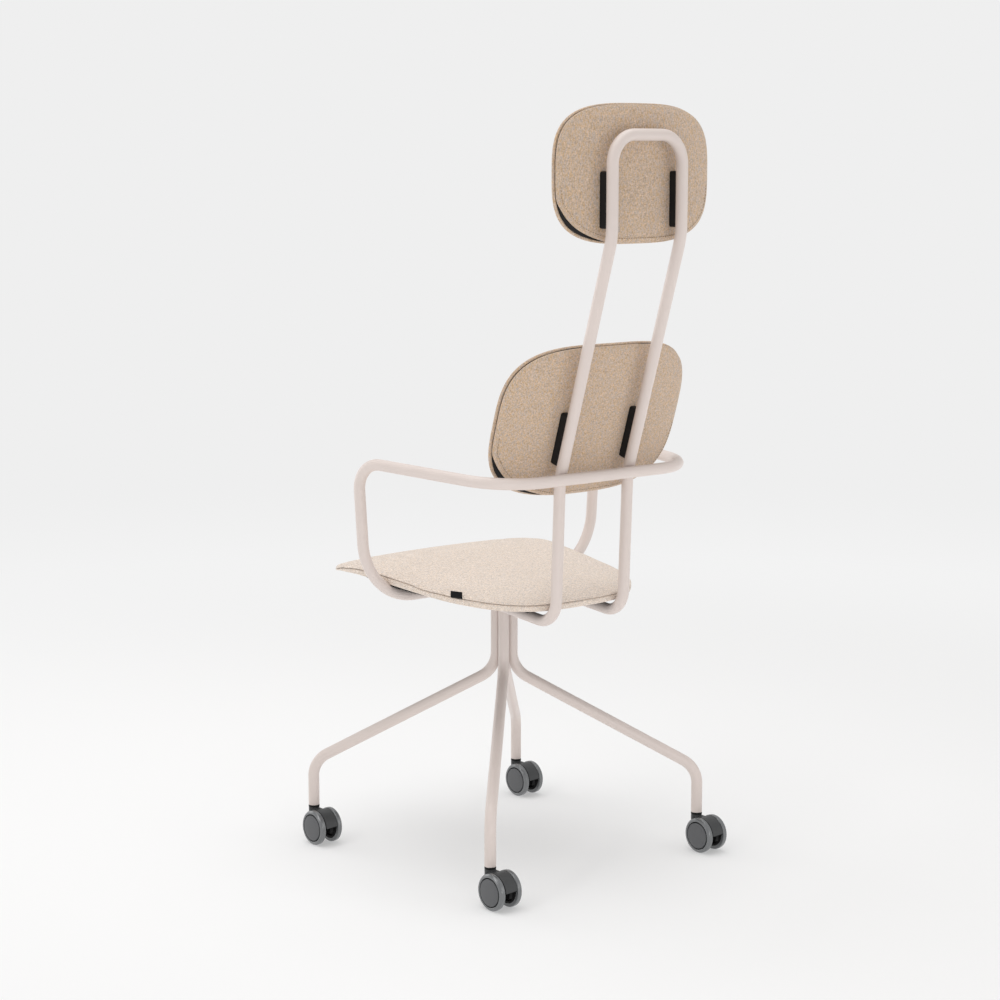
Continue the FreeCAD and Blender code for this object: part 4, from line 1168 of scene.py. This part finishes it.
def studio_world():
    """World that lights the chair evenly, and that the camera, metal and glass see as the backdrop."""
    world = bpy.data.worlds.new("studio")
    world.use_nodes = True
    tree = world.node_tree
    tree.nodes.clear()
    ray = add_node(tree, "ShaderNodeLightPath")
    seen = add_node(tree, "ShaderNodeMath", {"operation": "MAXIMUM"}, i0=ray.outputs["Is Camera Ray"],
                    i1=ray.outputs["Is Glossy Ray"])
    seen = add_node(tree, "ShaderNodeMath", {"operation": "MAXIMUM"}, i0=seen.outputs[0],
                    i1=ray.outputs["Is Transmission Ray"])
    fill = add_node(tree, "ShaderNodeBackground", {"Color": FILL_COLOUR, "Strength": FILL_STRENGTH})
    shown = add_node(tree, "ShaderNodeBackground", {"Color": rgba(colours().backdrop), "Strength": 1.0})
    both = add_node(tree, "ShaderNodeMixShader", None, i0=seen.outputs[0], i1=fill.outputs[0],
                    i2=shown.outputs[0])
    add_node(tree, "ShaderNodeOutputWorld", None, Surface=both.outputs[0])
    return world


def floor_paint():
    """Matt studio floor, which keeps the chair's shadow and fades into the backdrop by a glow of its own."""
    material, tree, shader = new_material("matt_studio_floor")
    pale = rgba(colours().floor)
    place = add_node(tree, "ShaderNodeTexCoord").outputs["Object"]
    away = add_node(tree, "ShaderNodeVectorMath", {"operation": "LENGTH"}, i0=place).outputs["Value"]
    smooth = {"interpolation_type": "SMOOTHSTEP"}
    fade = add_node(tree, "ShaderNodeMapRange", {**smooth, "From Min": FADE_START, "From Max": FADE_END,
                                                 "To Min": GLOW_NEAR}, Value=away)
    tone = add_node(tree, "ShaderNodeMapRange", {**smooth, "From Min": TONE_START, "From Max": TONE_END},
                    Value=away)
    shade = add_node(tree, "ShaderNodeMix", {"data_type": "RGBA"}, Factor=tone.outputs["Result"])
    shade.inputs[6].default_value = pale
    shade.inputs[7].default_value = rgba(colours().backdrop)
    ray = add_node(tree, "ShaderNodeLightPath")
    thrown = add_node(tree, "ShaderNodeMapRange", {"To Min": FLOOR_BOUNCE, "To Max": 1.0},
                      Value=ray.outputs["Is Camera Ray"])
    shader.inputs["Base Color"].default_value = pale
    shader.inputs["Roughness"].default_value = 0.9
    shader.inputs["Specular IOR Level"].default_value = 0.0
    glow = add_node(tree, "ShaderNodeEmission", None, Color=shade.outputs[2],
                    Strength=thrown.outputs["Result"])
    mixed = add_node(tree, "ShaderNodeMixShader", None, i0=fade.outputs["Result"], i1=shader.outputs[0],
                     i2=glow.outputs[0])
    tree.links.new(mixed.outputs[0], tree.nodes["Material Output"].inputs["Surface"])
    return material


def studio_floor():
    """Round floor under the chair."""
    disc = bmesh.new()
    bmesh.ops.create_circle(disc, cap_ends=True, segments=FLOOR_SEGMENTS, radius=FLOOR_RADIUS)
    data = bpy.data.meshes.new("floor")
    disc.to_mesh(data)
    disc.free()
    floor = bpy.data.objects.new("floor", data)
    bpy.context.scene.collection.objects.link(floor)
    data.materials.append(floor_paint())


def soft_box(name, place, aim, size, power, spread=math.pi, roll=0.0):
    """A soft box that points at a place, rolled about its beam, with the beam kept within an angle."""
    data = bpy.data.lights.new(name, "AREA")
    data.shape = "RECTANGLE"
    data.size, data.size_y = size
    data.energy = power
    data.spread = spread
    lamp = bpy.data.objects.new(name, data)
    bpy.context.scene.collection.objects.link(lamp)
    lamp.location = place
    facing = (Vector(aim) - Vector(place)).to_track_quat("-Z", "Y")
    lamp.rotation_euler = (facing @ Quaternion((0, 0, 1), roll)).to_euler()


def photo_camera():
    """Camera where the photo was taken from."""
    data = bpy.data.cameras.new("camera")
    data.lens = CAMERA_LENS
    camera = bpy.data.objects.new("camera", data)
    bpy.context.scene.collection.objects.link(camera)
    level = math.cos(CAMERA_DIP)
    forward = Vector((-math.sin(CAMERA_TURN) * level, math.cos(CAMERA_TURN) * level,
                      -math.sin(CAMERA_DIP)))
    camera.location = CAMERA_PLACE
    camera.rotation_euler = forward.to_track_quat("-Z", "Y").to_euler()
    return camera


class Stage(bpy.types.Operator):
    """Floor, soft studio light and the camera"""

    bl_idname = "chair.stage"
    bl_label = "Stage"

    def execute(self, context):
        context.scene.view_settings.view_transform = "Standard"
        context.scene.world = studio_world()
        studio_floor()
        for name, facts in LAMPS.items():
            soft_box(name, **facts)
        context.scene.camera = photo_camera()
        return {"FINISHED"}


# Panel and registration


class ChairPanel(bpy.types.Panel):
    """The chair's sizes, colours and pieces in the 3D view's sidebar"""

    bl_idname = "VIEW3D_PT_chair"
    bl_label = "Conference chair"
    bl_space_type = "VIEW_3D"
    bl_region_type = "UI"
    bl_category = "Chair"

    def draw(self, context):
        for group in (context.scene.chair_sizes, context.scene.chair_colours):
            for name in group.__annotations__:
                self.layout.prop(group, name)
        for piece in OPERATORS:
            self.layout.operator(piece.bl_idname)


OPERATORS = (FrameFinish, Welds, FittingsFinish, Casters, UprightPads, SeatPad, Stage)
CLASSES = (ChairColours, ChairSizes, *OPERATORS, ChairPanel)


def register():
    for item in CLASSES:
        bpy.utils.register_class(item)
    bpy.types.Scene.chair_colours = PointerProperty(type=ChairColours)
    bpy.types.Scene.chair_sizes = PointerProperty(type=ChairSizes)


def unregister():
    del bpy.types.Scene.chair_sizes
    del bpy.types.Scene.chair_colours
    for item in reversed(CLASSES):
        bpy.utils.unregister_class(item)


def main():
    register()
    bpy.ops.chair.frame_finish()
    bpy.ops.chair.welds()
    bpy.ops.chair.fittings_finish()
    bpy.ops.chair.casters()
    bpy.ops.chair.upright_pads()
    bpy.ops.chair.seat_pad()
    bpy.ops.chair.stage()
    bpy.context.view_layer.update()


if __name__ == "__main__":
    main()
